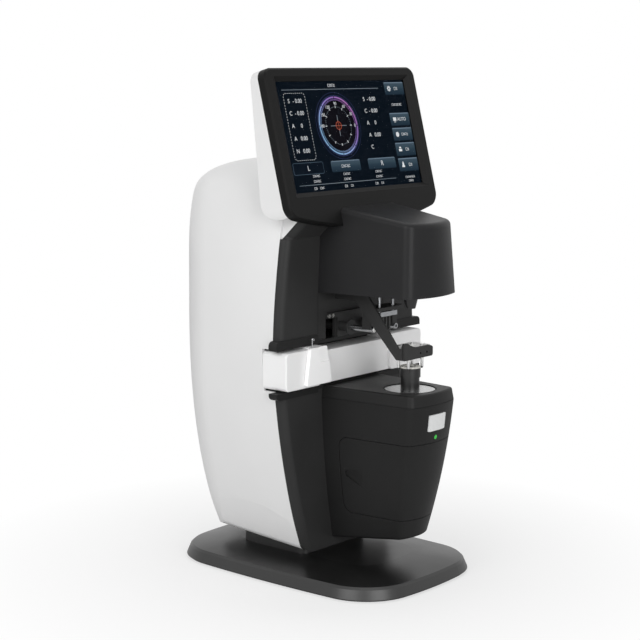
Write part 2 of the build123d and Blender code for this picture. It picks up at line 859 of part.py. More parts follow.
def box_form(inset):
    sizes = [(box_floor_z, box_foot_rear_half_w, box_foot_front_half_w, box_foot_side_y,
              box_foot_front_y),
             (box_mid_z, box_mid_rear_half_w, box_mid_front_half_w, box_mid_side_y, box_mid_front_y),
             (cap_low_z, box_rear_half_w, box_front_half_w, box_side_y, box_front_y)]
    with BuildPart() as form:
        loft(sections=[nose_outline(*size, inset, box_corner_r) for size in sizes])
        slope = math.atan2(box_floor_rise, body_face_y - box_side_y)
        split(bisect_by=Plane((0, body_face_y, box_floor_z + inset),
                              z_dir=(0, math.sin(slope), math.cos(slope))), keep=Keep.TOP)
        if inset < box_wall:
            floor = form.faces().sort_by(Axis.Z)[0]
            fillet(floor.edges().sort_by(Axis.Y)[:-1], box_floor_round)
    return form.part


box_outer = box_form(0)
box_inner = box_form(box_wall)

with BuildPart() as cover_zone:
    with BuildSketch(Plane.YZ):
        with Locations((cover_rear_y - far / 2, (cover_low_z + cover_high_z) / 2)):
            RectangleRounded(far, cover_high_z - cover_low_z, cover_corner_r)
    extrude(amount=far, both=True)

with BuildPart() as cover_cut:
    with BuildSketch(Plane.YZ):
        with Locations((cover_rear_y - far / 2, (cover_low_z + cover_high_z) / 2)):
            RectangleRounded(far + 2 * cover_gap, cover_high_z - cover_low_z + 2 * cover_gap,
                             cover_corner_r + cover_gap)
    extrude(amount=far, both=True)

button_low = button_z - button_h / 2
button_high = button_z + button_h / 2
with BuildPart() as measuring_box:
    add(box_outer)
    add(box_inner, mode=Mode.SUBTRACT)
    add(cover_cut.part, mode=Mode.SUBTRACT)
    add(box_between((-button_w / 2 - face_gap, -far, button_low - face_gap),
                    (button_w / 2 + face_gap, nose_y, button_high + face_gap)), mode=Mode.SUBTRACT)
    with BuildSketch(Plane.XZ.offset(-nose_y)):
        with Locations((0, lamp_z)):
            Circle(lamp_r)
    extrude(amount=far, mode=Mode.SUBTRACT)
measuring_box.part.label = "measuring_box"
export_step(measuring_box.part, "parts/measuring_box.step")

grip_turn = math.degrees(math.atan2(grip_depth, grip_w))
grip_pivot = Location((-box_mid_front_half_w, grip_y - grip_w, 0))
with BuildPart() as grip_cut:
    with BuildSketch(Plane.YZ) as grip_outline:
        with BuildLine():
            Polyline((grip_y, grip_z + grip_round), (grip_y - grip_w, grip_z + grip_rise),
                     (grip_y - grip_w, grip_z - grip_drop), (grip_y, grip_z - grip_round), close=True)
        make_face()
        fillet(grip_outline.vertices().group_by(Axis.X)[-1], grip_round)
    extrude(amount=-far)
    add(box_outer.moved(grip_pivot * Location((0, 0, 0), (0, 0, -grip_turn)) * grip_pivot.inverse()),
        mode=Mode.SUBTRACT)
    mirror(about=Plane.YZ)

with BuildPart() as access_cover:
    add(box_outer)
    add(box_inner, mode=Mode.SUBTRACT)
    add(cover_zone.part, mode=Mode.INTERSECT)
    add(grip_cut.part, mode=Mode.SUBTRACT)
access_cover.part.label = "access_cover"
export_step(access_cover.part, "parts/access_cover.step")

with BuildPart() as cap_seam:
    extrude(nose_outline(cap_low_z, box_rear_half_w, box_front_half_w, box_side_y, box_front_y, 0,
                         box_corner_r), amount=deck_seam)
    extrude(nose_outline(cap_low_z, box_rear_half_w, box_front_half_w, box_side_y, box_front_y,
                         deck_seam, box_corner_r), amount=deck_seam, mode=Mode.SUBTRACT)

with BuildPart() as deck_cap:
    loft(sections=[nose_outline(cap_low_z, box_rear_half_w, box_front_half_w, box_side_y,
                                box_front_y, 0, box_corner_r),
                   nose_outline(deck_z, box_rear_half_w, box_front_half_w, box_side_y,
                                box_front_y, deck_inset, box_corner_r)], ruled=True)
    top = deck_cap.faces().sort_by(Axis.Z)[-1]
    fillet(top.edges().sort_by(Axis.Y)[:-1], deck_round)
    add(cap_seam.part, mode=Mode.SUBTRACT)
    add(box_between((-far, body_face_y, cap_low_z), (far, 0, deck_z)), mode=Mode.SUBTRACT)
    add(box_between((-far, ear_front_y, liner_low_z), (far, 0, deck_z)), mode=Mode.SUBTRACT)
    with BuildSketch(Plane.XY.offset(deck_z)):
        with Locations((0, nose_y)):
            Circle(disc_r + disc_groove)
    extrude(amount=-disc_t, mode=Mode.SUBTRACT)
    with BuildSketch(Plane.XY.offset(deck_z)):
        with Locations((0, nose_y)):
            Circle(nose_foot_r)
    extrude(amount=-deck_t, mode=Mode.SUBTRACT)
deck_cap.part.label = "deck_cap"
export_step(deck_cap.part, "parts/deck_cap.step")

with BuildPart() as deck_disc:
    with BuildSketch(Plane.XY.offset(deck_z - disc_t)):
        with Locations((0, nose_y)):
            Circle(disc_r)
            Circle(nose_foot_r, mode=Mode.SUBTRACT)
    extrude(amount=disc_t - disc_sink)
deck_disc.part.label = "deck_disc"
export_step(deck_disc.part, "parts/deck_disc.step")

# Nosepiece and its pale ring, turned about the measuring axis
with BuildPart() as nosepiece:
    with BuildSketch(Plane.XZ.offset(-nose_y)):
        with BuildLine():
            Polyline((nose_bore_r, deck_z - nose_sink), (nose_foot_r, deck_z - nose_sink),
                     (nose_foot_r, deck_z + nose_foot_h), (nose_r, deck_z + nose_foot_h),
                     (nose_r, nose_top_z), (nose_bore_r, nose_top_z), close=True)
        make_face()
    revolve(axis=Axis((0, nose_y, 0), (0, 0, 1)))
nosepiece.part.label = "nosepiece"
export_step(nosepiece.part, "parts/nosepiece.step")

with BuildPart() as nose_ring:
    with BuildSketch(Plane.XY.offset(nose_top_z)):
        with Locations((0, nose_y)):
            Circle(nose_r)
            Circle(nose_bore_r, mode=Mode.SUBTRACT)
    extrude(amount=nose_ring_h)
    chamfer(nose_ring.edges().group_by(Axis.Z)[-1], nose_ring_h / 3)
nose_ring.part.label = "nose_ring"
export_step(nose_ring.part, "parts/nose_ring.step")

# Memory button with a flange behind the wall, and the status lamp
with BuildPart() as memory_button:
    add(box_outer.moved(Location((0, -button_proud, 0))))
    add(box_inner.moved(Location((0, button_t - box_wall, 0))), mode=Mode.SUBTRACT)
    with BuildSketch(Plane.XZ.offset(-nose_y)):
        with Locations((0, button_z)):
            RectangleRounded(button_w, button_h, button_corner_r)
    extrude(amount=far, mode=Mode.INTERSECT)
    flange_y = memory_button.part.bounding_box().max.Y
    add(box_between((-button_w / 2 - button_flange, flange_y - button_flange / 2,
                     button_low - button_flange),
                    (button_w / 2 + button_flange, flange_y, button_high + button_flange)))
memory_button.part.label = "memory_button"
export_step(memory_button.part, "parts/memory_button.step")

with BuildPart() as status_lamp:
    add(box_outer)
    with BuildSketch(Plane.XZ.offset(-box_front_y - lamp_l)):
        with Locations((0, lamp_z)):
            Circle(lamp_r)
    extrude(amount=far, mode=Mode.INTERSECT)
status_lamp.part.label = "status_lamp"
export_step(status_lamp.part, "parts/status_lamp.step")

# Lens table: a bar with taller end blocks, carried on two guide rods
end_front_y = table_front_y - table_end_proud
with BuildPart() as lens_table:
    for side in (-1, 1):
        inner, outer = sorted((side * (table_half_w - table_end_l), side * table_half_w))
        add(box_between((inner, end_front_y, table_low_z - table_end_drop),
                        (outer, table_rear_y, table_top_z + table_end_rise)))
    fillet(lens_table.edges().filter_by(Axis.Y), table_round)
    fillet(lens_table.faces().group_by(Axis.Y)[0].edges(), table_edge)
    add(box_between((-table_half_w + 2 * table_round, table_front_y, table_low_z),
                    (table_half_w - 2 * table_round, table_rear_y - table_edge, table_top_z)))
    groove_y = (table_front_y + table_rear_y) / 2
    add(box_between((slider_x - slider_half_w, groove_y - table_groove_w / 2,
                     table_top_z + table_end_rise - table_groove_d),
                    (slider_x + slider_travel + slider_half_w, groove_y + table_groove_w / 2,
                     table_top_z + 2 * table_round)), mode=Mode.SUBTRACT)
    with BuildSketch(Plane.XZ.offset(-table_rear_y)):
        with Locations((-guide_x, guide_z), (guide_x, guide_z)):
            Circle(guide_r)
    extrude(amount=table_rear_y - table_front_y - table_round, mode=Mode.SUBTRACT)
lens_table.part.label = "lens_table"
export_step(lens_table.part, "parts/lens_table.step")

with BuildPart() as guide_rods:
    with BuildSketch(Plane.XZ.offset(-guide_rear_y)):
        with Locations((-guide_x, guide_z), (guide_x, guide_z)):
            Circle(guide_r)
    extrude(amount=guide_rear_y - table_front_y - table_round)
    chamfer(guide_rods.edges().group_by(Axis.Y)[-1], guide_r / 4)
guide_rods.part.label = "guide_rods"
export_step(guide_rods.part, "parts/guide_rods.step")

# PD slider: a tapered tab over the front of the table, on a plate with a tongue in the groove
slider_back_y = end_front_y - face_gap
with BuildPart() as pd_slider:
    with BuildSketch(Plane.XZ.offset(-slider_back_y)):
        with BuildLine():
            Polyline((slider_x - slider_foot_half_w, slider_low_z),
                     (slider_x + slider_foot_half_w, slider_low_z),
                     (slider_x + slider_half_w, slider_top_z + slider_plate_t),
                     (slider_x - slider_half_w, slider_top_z + slider_plate_t), close=True)
        make_face()
    extrude(amount=slider_t)
    fillet(pd_slider.edges().filter_by(Axis.Y), slider_t / 2)
    fillet(pd_slider.faces().sort_by(Axis.Y)[0].edges(), slider_t / 4)
    add(box_between((slider_x + slider_half_w - slider_notch_w,
                     slider_back_y - slider_t, slider_top_z - slider_notch_h),
                    (slider_x + slider_foot_half_w, slider_back_y - slider_t + slider_notch_d, far * far)),
        mode=Mode.SUBTRACT)
    add(box_between((slider_x - slider_half_w + slider_t, slider_back_y - slider_t / 2, slider_top_z),
                    (slider_x + slider_half_w - slider_t, slider_plate_rear_y,
                     slider_top_z + slider_plate_t)))
    add(box_between((slider_x - slider_half_w + slider_t, groove_y - table_groove_w / 2 + face_gap,
                     slider_top_z - table_groove_d + face_gap),
                    (slider_x + slider_half_w - slider_t, groove_y + table_groove_w / 2 - face_gap,
                     slider_top_z)))
pd_slider.part.label = "pd_slider"
export_step(pd_slider.part, "parts/pd_slider.step")

hook_x = slider_x + hook_offset_x
hook_foot_z = slider_top_z + slider_plate_t
with BuildPart() as slider_hook:
    with BuildLine() as hook_line:
        FilletPolyline((hook_x, hook_y, hook_foot_z),
                       (hook_x, hook_y, hook_foot_z + hook_h),
                       (hook_x + hook_reach, hook_y, hook_foot_z + hook_h),
                       (hook_x + hook_reach, hook_y, hook_foot_z + hook_h - hook_reach),
                       radius=0.45 * hook_reach)
    with BuildSketch(Plane((hook_x, hook_y, hook_foot_z))):
        Circle(hook_r)
    sweep(path=hook_line.wires()[0])
slider_hook.part.label = "slider_hook"
export_step(slider_hook.part, "parts/slider_hook.step")

# Lens holder: the arm and the bar that it bends into
arm_in_x = arm_x + arm_t / 2
arm_rear_y = holder_rail_y + carriage_d / 2
bar_rear_y = holder_front_y + holder_bar_t
arm_top_z = arm_root_z + arm_root_h
with BuildPart() as holder_arm:
    with BuildSketch(Plane.YZ.offset(arm_x - arm_t / 2)) as arm_outline:
        with BuildLine():
            Polyline((arm_rear_y, arm_root_z), (arm_knee_y, arm_root_z), (arm_end_y, arm_end_z),
                     (bar_rear_y, arm_end_z), (bar_rear_y, arm_end_z + holder_bar_h),
                     (bar_rear_y + arm_step, plate_z + plate_t), (arm_knee_low_y, plate_z + plate_t),
                     (arm_knee_low_y + (arm_top_z - plate_z - plate_t) / arm_upper_slope, arm_top_z),
                     (arm_rear_y, arm_top_z), close=True)
        make_face()
        fillet(arm_outline.vertices().sort_by_distance((arm_knee_y, arm_root_z))[0], arm_round)
    extrude(amount=arm_t)
holder_arm.part.label = "holder_arm"
export_step(holder_arm.part, "parts/holder_arm.step")

bar_top_z = arm_end_z + holder_bar_h
bar_dip_z = bar_top_z - holder_dip
with BuildPart() as holder_bar:
    with BuildSketch(Plane.XZ.offset(-bar_rear_y)) as bar_outline:
        with BuildLine():
            Polyline((holder_left_x, bar_top_z), (holder_left_x, arm_end_z), (holder_right_x, arm_end_z),
                     (holder_right_x, arm_end_z + holder_tail_h),
                     (holder_right_x - holder_dip, bar_dip_z), (holder_left_x + holder_dip_w, bar_dip_z))
            ThreePointArc((holder_left_x + holder_dip_w, bar_dip_z),
                          (holder_left_x + 0.6 * holder_dip_w, bar_top_z - 0.84 * holder_dip),
                          (holder_left_x + holder_dip, bar_top_z))
            Line((holder_left_x + holder_dip, bar_top_z), (holder_left_x, bar_top_z))
        make_face()
        fillet(bar_outline.vertices().group_by(Axis.X)[-1], bar_corner_r)
        with Locations((bar_hole_x, arm_end_z + bar_hole_rise),
                       (bar_hole_x + bar_hole_pitch, arm_end_z + bar_hole_rise)):
            Circle(bar_hole_r, mode=Mode.SUBTRACT)
    extrude(amount=holder_bar_t)
    fillet(holder_bar.edges().filter_by(Axis.Z).sort_by(Axis.X)[:1], bar_corner_r / 2)
holder_bar.part.label = "holder_bar"
export_step(holder_bar.part, "parts/holder_bar.step")

pin_places = [(x, nose_y + y) for x in (-pin_pitch_x, pin_pitch_x) for y in (-pin_pitch_y, pin_pitch_y)]
with BuildPart() as pin_plate:
    with BuildSketch(Plane.XY.offset(plate_z)):
        with Locations(((arm_in_x + plate_right_x) / 2, (plate_rear_y + bar_rear_y) / 2)):
            Rectangle(plate_right_x - arm_in_x, plate_rear_y - bar_rear_y)
        with Locations((0, nose_y)):
            Rectangle(2 * window_half_w, 2 * window_half_d, mode=Mode.SUBTRACT)
        with Locations(*pin_places):
            Circle(pin_bush_r, mode=Mode.SUBTRACT)
    extrude(amount=plate_t)
pin_plate.part.label = "pin_plate"
export_step(pin_plate.part, "parts/pin_plate.step")

bush_top_z = plate_z + plate_t
with BuildPart() as pin_bushes:
    with BuildSketch(Plane.XY.offset(bush_top_z)):
        with Locations(*pin_places):
            Circle(pin_bush_r)
            Circle(pin_r + running_gap, mode=Mode.SUBTRACT)
    extrude(amount=-pin_bush_l)
pin_bushes.part.label = "pin_bushes"
export_step(pin_bushes.part, "parts/pin_bushes.step")

# Sprung lens pins, one body each
for number, (x, y) in enumerate(pin_places, start=1):
    with BuildPart() as lens_pin:
        with BuildSketch(Plane.XZ.offset(-y)):
            with BuildLine():
                Polyline((x, pin_low_z - tip_l), (x + tip_end_r, pin_low_z - tip_l),
                         (x + tip_r, pin_low_z), (x + pin_r, pin_low_z), (x + pin_r, bush_top_z),
                         (x + pin_head_r, bush_top_z), (x + pin_head_r, bush_top_z + pin_head_t),
                         (x, bush_top_z + pin_head_t), close=True)
            make_face()
        revolve(axis=Axis((x, y, 0), (0, 0, 1)))
    lens_pin.part.label = f"lens_pin_{number}"
    export_step(lens_pin.part, f"parts/lens_pin_{number}.step")

# Carriage of the lens holder, its vertical rail and the bracket that holds the rail
rail_x = arm_in_x + carriage_w / 2
with BuildPart() as holder_carriage:
    add(box_between((arm_in_x, holder_rail_y - carriage_d / 2, arm_top_z - carriage_h),
                    (arm_in_x + carriage_w, holder_rail_y + carriage_d / 2, arm_top_z)))
    with BuildSketch(Plane.XY.offset(arm_top_z)):
        with Locations((rail_x, holder_rail_y)):
            Circle(holder_rail_r + running_gap)
    extrude(amount=-carriage_h, mode=Mode.SUBTRACT)
holder_carriage.part.label = "holder_carriage"
export_step(holder_carriage.part, "parts/holder_carriage.step")

with BuildPart() as holder_rail:
    with BuildSketch(Plane.XY.offset(holder_rail_low_z)):
        with Locations((rail_x, holder_rail_y)):
            Circle(holder_rail_r)
    extrude(amount=holder_rail_high_z - holder_rail_low_z)
holder_rail.part.label = "holder_rail"
export_step(holder_rail.part, "parts/holder_rail.step")

with BuildPart() as rail_bracket:
    for low in (holder_rail_low_z - rail_arm_t, holder_rail_high_z):
        add(box_between((rail_x - rail_arm_w / 2, holder_rail_y - rail_arm_w / 2, low),
                        (rail_x + rail_arm_w / 2, spine_y, low + rail_arm_t)))
    add(box_between((rail_x - rail_arm_w / 2, spine_y - rail_arm_t, holder_rail_low_z - rail_arm_t),
                    (rail_x + rail_arm_w / 2, spine_y, holder_rail_high_z + rail_arm_t)))
rail_bracket.part.label = "rail_bracket"
export_step(rail_bracket.part, "parts/rail_bracket.step")

# Marker unit: a bracket with two flanged bushes, the rods in them and the carriage on the rods
bracket_y = body_face_y - bracket_t
with BuildPart() as marker_bracket:
    add(box_between((-bracket_plate_half_w, bracket_y, bracket_low_z),
                    (bracket_plate_half_w, body_face_y, bracket_high_z)))
    add(box_between((-bracket_half_w, bracket_y, bracket_low_z + bracket_plate_rise),
                    (bracket_half_w, body_face_y, bracket_high_z)))
    add(box_between((-bracket_half_w, bracket_y - bracket_lip, bracket_high_z - bracket_lip_t),
                    (bracket_half_w, bracket_y, bracket_high_z)))
    with BuildSketch(Plane.XZ.offset(-rod_bush_front_y)):
        with Locations(*rod_places):
            Circle(rod_bush_r)
    extrude(amount=rod_bush_front_y - rod_bush_rear_y)
    with BuildSketch(Plane.XZ.offset(-rod_bush_front_y)):
        with Locations(*rod_places):
            Circle(rod_flange_r)
    extrude(amount=-rod_flange_t)
    with BuildSketch(Plane.XZ.offset(-rod_bush_front_y)):
        with Locations(*rod_places):
            Circle(marker_rod_r + running_gap)
    extrude(amount=rod_bush_front_y - rod_bush_rear_y, mode=Mode.SUBTRACT)
marker_bracket.part.label = "marker_bracket"
export_step(marker_bracket.part, "parts/marker_bracket.step")

with BuildPart() as marker_rods:
    with BuildSketch(Plane.XZ.offset(-marker_rod_front_y)):
        with Locations(*rod_places):
            Circle(marker_rod_r)
    extrude(amount=marker_rod_front_y - marker_rod_rear_y)
    with BuildSketch(Plane.XZ.offset(-marker_rod_front_y)):
        with Locations((marker_rod_x, marker_rod_z)):
            RegularPolygon(rod_socket_r, 6)
    extrude(amount=-rod_socket_d, mode=Mode.SUBTRACT)
marker_rods.part.label = "marker_rods"
export_step(marker_rods.part, "parts/marker_rods.step")

with BuildPart() as rod_cap:
    with BuildSketch(Plane.XZ.offset(-marker_rod_front_y)):
        with Locations((-marker_rod_x, marker_rod_z)):
            Circle(rod_cap_r)
    extrude(amount=rod_cap_l)
    chamfer(rod_cap.edges().group_by(Axis.Y)[0], rod_cap_l / 3)
rod_cap.part.label = "rod_cap"
export_step(rod_cap.part, "parts/rod_cap.step")

bridge_front_y = marker_y - marker_bridge_lead
with BuildPart() as marker_carriage:
    for side, reach in ((-1, marker_leg_half_w), (1, marker_leg_out_w)):
        inner, outer = sorted((side * (marker_rod_x - marker_leg_half_w), side * (marker_rod_x + reach)))
        add(box_between((inner, marker_leg_front_y, marker_rod_z),
                        (outer, marker_leg_rear_y, marker_bridge_z)))
    add(box_between((-marker_rod_x - marker_leg_half_w, bridge_front_y, marker_bridge_z),
                    (marker_rod_x + marker_leg_out_w, marker_leg_rear_y, marker_bridge_z + marker_bridge_t)))
    with BuildSketch(Plane.XZ.offset(-bridge_front_y)):
        with Locations(*rod_places):
            Circle(marker_rod_r)
    extrude(amount=-far, mode=Mode.SUBTRACT)
    with BuildSketch(Plane.XY.offset(marker_bridge_z)):
        with Locations((-marker_post_x, marker_y), (marker_post_x, marker_y)):
            Circle(marker_post_r + running_gap)
    extrude(amount=marker_bridge_t, mode=Mode.SUBTRACT)
marker_carriage.part.label = "marker_carriage"
export_step(marker_carriage.part, "parts/marker_carriage.step")

pen_places = [(share * pen_pitch, marker_y) for share in (-1, 0, 1)]
with BuildPart() as marker_head:
    add(box_between((-marker_head_half_w, marker_y - marker_head_d / 2, marker_head_z),
                    (marker_head_half_w, marker_y + marker_head_d / 2, marker_head_z + marker_head_t)))
    with BuildSketch(Plane.XY.offset(marker_head_z)):
        with Locations((-marker_post_x, marker_y), (marker_post_x, marker_y)):
            Circle(marker_post_r)
    extrude(amount=marker_post_top_z - marker_head_z)
    with BuildSketch(Plane.XY.offset(marker_head_z)):
        with Locations(*pen_places):
            Circle(pen_r)
    extrude(amount=marker_head_t, mode=Mode.SUBTRACT)
marker_head.part.label = "marker_head"
export_step(marker_head.part, "parts/marker_head.step")

with BuildPart() as marker_pens:
    with BuildSketch(Plane.XY.offset(pen_low_z + pen_tip_l)):
        with Locations(*pen_places):
            Circle(pen_r)
    extrude(amount=marker_head_z + marker_head_t - pen_low_z - pen_tip_l)
    with BuildSketch(Plane.XY.offset(pen_low_z)):
        with Locations(*pen_places):
            Circle(pen_tip_r)
    extrude(amount=pen_tip_l)
marker_pens.part.label = "marker_pens"
export_step(marker_pens.part, "parts/marker_pens.step")

# Light source: arm, nozzle, condenser lens, lamp board and heat sink
arm_low_z = optic_arm_z - optic_arm_t
with BuildPart() as optic_arm:
    add(box_between((optic_arm_left_x, body_face_y, arm_low_z), (optic_arm_half_w, spine_y, optic_arm_z)))
    add(box_between((-optic_arm_half_w, optic_arm_front_y, arm_low_z),
                    (optic_arm_half_w, body_face_y, optic_arm_z)))
    with BuildSketch(Plane.XY.offset(optic_arm_z)):
        with Locations((0, nose_y)):
            Circle(nozzle_bore_r)
    extrude(amount=-optic_arm_t, mode=Mode.SUBTRACT)
optic_arm.part.label = "optic_arm"
export_step(optic_arm.part, "parts/optic_arm.step")

with BuildPart() as light_nozzle:
    with BuildSketch(Plane.XZ.offset(-nose_y)):
        with BuildLine():
            Polyline((nozzle_bore_r, nozzle_low_z), (nozzle_tip_r, nozzle_low_z),
                     (nozzle_r, nozzle_low_z + nozzle_taper_h), (nozzle_r, arm_low_z - nozzle_flange_t),
                     (nozzle_flange_r, arm_low_z - nozzle_flange_t), (nozzle_flange_r, arm_low_z),
                     (condenser_r, arm_low_z), (condenser_r, condenser_z),
                     (nozzle_bore_r, condenser_z), close=True)
        make_face()
    revolve(axis=Axis((0, nose_y, 0), (0, 0, 1)))
light_nozzle.part.label = "light_nozzle"
export_step(light_nozzle.part, "parts/light_nozzle.step")


def lens_form(z, r, edge_t, bulge):
    ball_r = (r ** 2 + bulge ** 2) / (2 * bulge)
    with BuildPart() as form:
        with BuildSketch(Plane.XY.offset(z)):
            with Locations((0, nose_y)):
                Circle(r)
        extrude(amount=edge_t + bulge)
        with Locations((0, nose_y, z + edge_t + bulge - ball_r)):
            Sphere(ball_r, mode=Mode.INTERSECT)
    return form.part


with BuildPart() as condenser_lens:
    add(lens_form(condenser_z, condenser_r, condenser_t, condenser_bulge))
condenser_lens.part.label = "condenser_lens"
export_step(condenser_lens.part, "parts/condenser_lens.step")

board_top_z = optic_arm_z + lamp_board_t
with BuildPart() as lamp_board:
    add(box_between((-lamp_board_half, nose_y - lamp_board_half, optic_arm_z),
                    (lamp_board_half, nose_y + lamp_board_half, board_top_z)))
    add(box_between((-led_half, nose_y - led_half, optic_arm_z - led_t),
                    (led_half, nose_y + led_half, optic_arm_z)))
lamp_board.part.label = "lamp_board"
export_step(lamp_board.part, "parts/lamp_board.step")

fin_pitch = (2 * heatsink_half - heatsink_fin_t) / (heatsink_fins - 1)
with BuildPart() as lamp_heatsink:
    add(box_between((-heatsink_half, nose_y - heatsink_half, board_top_z),
                    (heatsink_half, nose_y + heatsink_half, board_top_z + heatsink_plate_t)))
    for number in range(heatsink_fins):
        low = number * fin_pitch - heatsink_half
        add(box_between((low, nose_y - heatsink_half, board_top_z),
                        (low + heatsink_fin_t, nose_y + heatsink_half, board_top_z + heatsink_h)))
lamp_heatsink.part.label = "lamp_heatsink"
export_step(lamp_heatsink.part, "parts/lamp_heatsink.step")

# Measuring tube under the deck, its arm, lens and sensor
with BuildPart() as tube_arm:
    add(box_between((-tube_arm_half_w, nose_y, tube_arm_z - tube_arm_t),
                    (tube_arm_half_w, spine_y, tube_arm_z)))
    with BuildSketch(Plane.XY.offset(tube_arm_z)):
        with Locations((0, nose_y)):
            Circle(tube_arm_half_w)
    extrude(amount=-tube_arm_t)
    with BuildSketch(Plane.XY.offset(tube_arm_z)):
        with Locations((0, nose_y)):
            Circle(tube_r)
    extrude(amount=-tube_arm_t, mode=Mode.SUBTRACT)
tube_arm.part.label = "tube_arm"
export_step(tube_arm.part, "parts/tube_arm.step")

with BuildPart() as measuring_tube:
    with BuildSketch(Plane.XY.offset(tube_low_z)):
        with Locations((0, nose_y)):
            Circle(tube_r)
            Circle(tube_bore_r, mode=Mode.SUBTRACT)
    extrude(amount=cap_low_z - tube_low_z)
measuring_tube.part.label = "measuring_tube"
export_step(measuring_tube.part, "parts/measuring_tube.step")

with BuildPart() as objective_lens:
    add(lens_form(objective_z, tube_bore_r, objective_t, objective_bulge))
objective_lens.part.label = "objective_lens"
export_step(objective_lens.part, "parts/objective_lens.step")

with BuildPart() as sensor_board:
    add(box_between((-sensor_half, nose_y - sensor_half, tube_low_z - sensor_t),
                    (sensor_half, nose_y + sensor_half, tube_low_z)))
    add(box_between((-chip_half, nose_y - chip_half, tube_low_z),
                    (chip_half, nose_y + chip_half, tube_low_z + chip_t)))
sensor_board.part.label = "sensor_board"
export_step(sensor_board.part, "parts/sensor_board.step")

# Chassis spine with its foot and the stay of the display
floor_z = body_foot_z + body_wall
spine_rear_y = spine_y + spine_t
with BuildPart() as chassis_spine:
    add(box_between((-spine_half_w, spine_y, floor_z), (spine_half_w, spine_rear_y, spine_top_z)))
    add(box_between((-spine_half_w, spine_y, floor_z),
                    (spine_half_w, spine_y + spine_foot_d, floor_z + spine_foot_h)))
    add(box_between((-stay_half_w, spine_y - stay_reach, spine_top_z - spine_t),
                    (stay_half_w, spine_y, spine_top_z)))
    add(display_envelope.part, mode=Mode.SUBTRACT)
    add(body_inner, mode=Mode.INTERSECT)
chassis_spine.part.label = "chassis_spine"
export_step(chassis_spine.part, "parts/chassis_spine.step")

with BuildPart() as main_board:
    board_y = spine_rear_y + standoff_l
    add(box_between((-board_half_w, board_y, board_low_z),
                    (board_half_w, board_y + board_t, board_high_z)))
    with BuildSketch(Plane.XZ.offset(-board_y)):
        with Locations((0, (board_low_z + board_high_z) / 2)):
            with GridLocations(2 * (board_half_w - standoff_inset),
                               board_high_z - board_low_z - 2 * standoff_inset, 2, 2):
                Circle(standoff_r)
    extrude(amount=standoff_l)
    add(box_between((-board_chip_half, board_y + board_t, board_low_z + board_half_w),
                    (board_chip_half, board_y + board_t + board_chip_t,
                     board_low_z + board_half_w + 2 * board_chip_half)))
main_board.part.label = "main_board"
export_step(main_board.part, "parts/main_board.step")

with BuildPart() as power_supply:
    add(box_between((-supply_half_w, spine_rear_y, supply_low_z),
                    (supply_half_w, spine_rear_y + supply_d, supply_high_z)))
    fillet(power_supply.edges().filter_by(Axis.Y), standoff_r)
power_supply.part.label = "power_supply"
export_step(power_supply.part, "parts/power_supply.step")

# Rear panel with the inlet, the rocker switch and a data port
panel_mid_z = (panel_low_z + panel_high_z) / 2
panel_in_y = panel_y - panel_t
rocker_y = panel_y + rocker_show - rocker_r
inlet_out_w = inlet_half_w + inlet_wall
inlet_out_h = inlet_half_h + inlet_wall
with BuildPart() as rear_panel:
    add(box_between((-panel_half_w + seat_gap, panel_in_y, panel_low_z + seat_gap),
                    (panel_half_w - seat_gap, panel_y, panel_high_z - seat_gap)))
    add(box_between((inlet_x - inlet_out_w, 0, panel_mid_z - inlet_out_h),
                    (inlet_x + inlet_out_w, far, panel_mid_z + inlet_out_h)), mode=Mode.SUBTRACT)
    add(box_between((rocker_x - rocker_half_w - face_gap, 0, panel_mid_z - rocker_r - face_gap),
                    (rocker_x + rocker_half_w + face_gap, far, panel_mid_z + rocker_r + face_gap)),
        mode=Mode.SUBTRACT)
    add(box_between((port_x - port_half - port_wall, 0, panel_mid_z - port_half - port_wall),
                    (port_x + port_half + port_wall, far, panel_mid_z + port_half + port_wall)),
        mode=Mode.SUBTRACT)
rear_panel.part.label = "rear_panel"
export_step(rear_panel.part, "parts/rear_panel.step")

with BuildPart() as power_inlet:
    add(box_between((inlet_x - inlet_out_w, panel_y - inlet_depth - inlet_wall, panel_mid_z - inlet_out_h),
                    (inlet_x + inlet_out_w, panel_y, panel_mid_z + inlet_out_h)))
    add(box_between((inlet_x - inlet_half_w, panel_y - inlet_depth, panel_mid_z - inlet_half_h),
                    (inlet_x + inlet_half_w, panel_y, panel_mid_z + inlet_half_h)), mode=Mode.SUBTRACT)
    for x, z in ((-inlet_pin_pitch, -inlet_pin_half_h), (0, inlet_pin_half_h),
                 (inlet_pin_pitch, -inlet_pin_half_h)):
        add(box_between((inlet_x + x - inlet_pin_half_w, panel_y - inlet_depth,
                         panel_mid_z + z - inlet_pin_half_h),
                        (inlet_x + x + inlet_pin_half_w, panel_y - inlet_depth + inlet_pin_l,
                         panel_mid_z + z + inlet_pin_half_h)))
power_inlet.part.label = "power_inlet"
export_step(power_inlet.part, "parts/power_inlet.step")

off_angle = math.radians(rocker_swing / 2)
with BuildPart() as power_rocker:
    with BuildSketch(Plane(origin=(rocker_x - rocker_half_w, rocker_y, panel_mid_z),
                           x_dir=(0, math.cos(off_angle), -math.sin(off_angle)), z_dir=(1, 0, 0))):
        Circle(rocker_r)
        with BuildLine():
            Polyline((rocker_r - rocker_notch, 0), (rocker_r + rocker_notch / 2, -rocker_r),
                     (2 * rocker_r, -rocker_r), (2 * rocker_r, rocker_r),
                     (rocker_r + rocker_notch / 2, rocker_r), close=True)
        make_face(mode=Mode.SUBTRACT)
    extrude(amount=2 * rocker_half_w)
power_rocker.part.label = "power_rocker"
export_step(power_rocker.part, "parts/power_rocker.step")

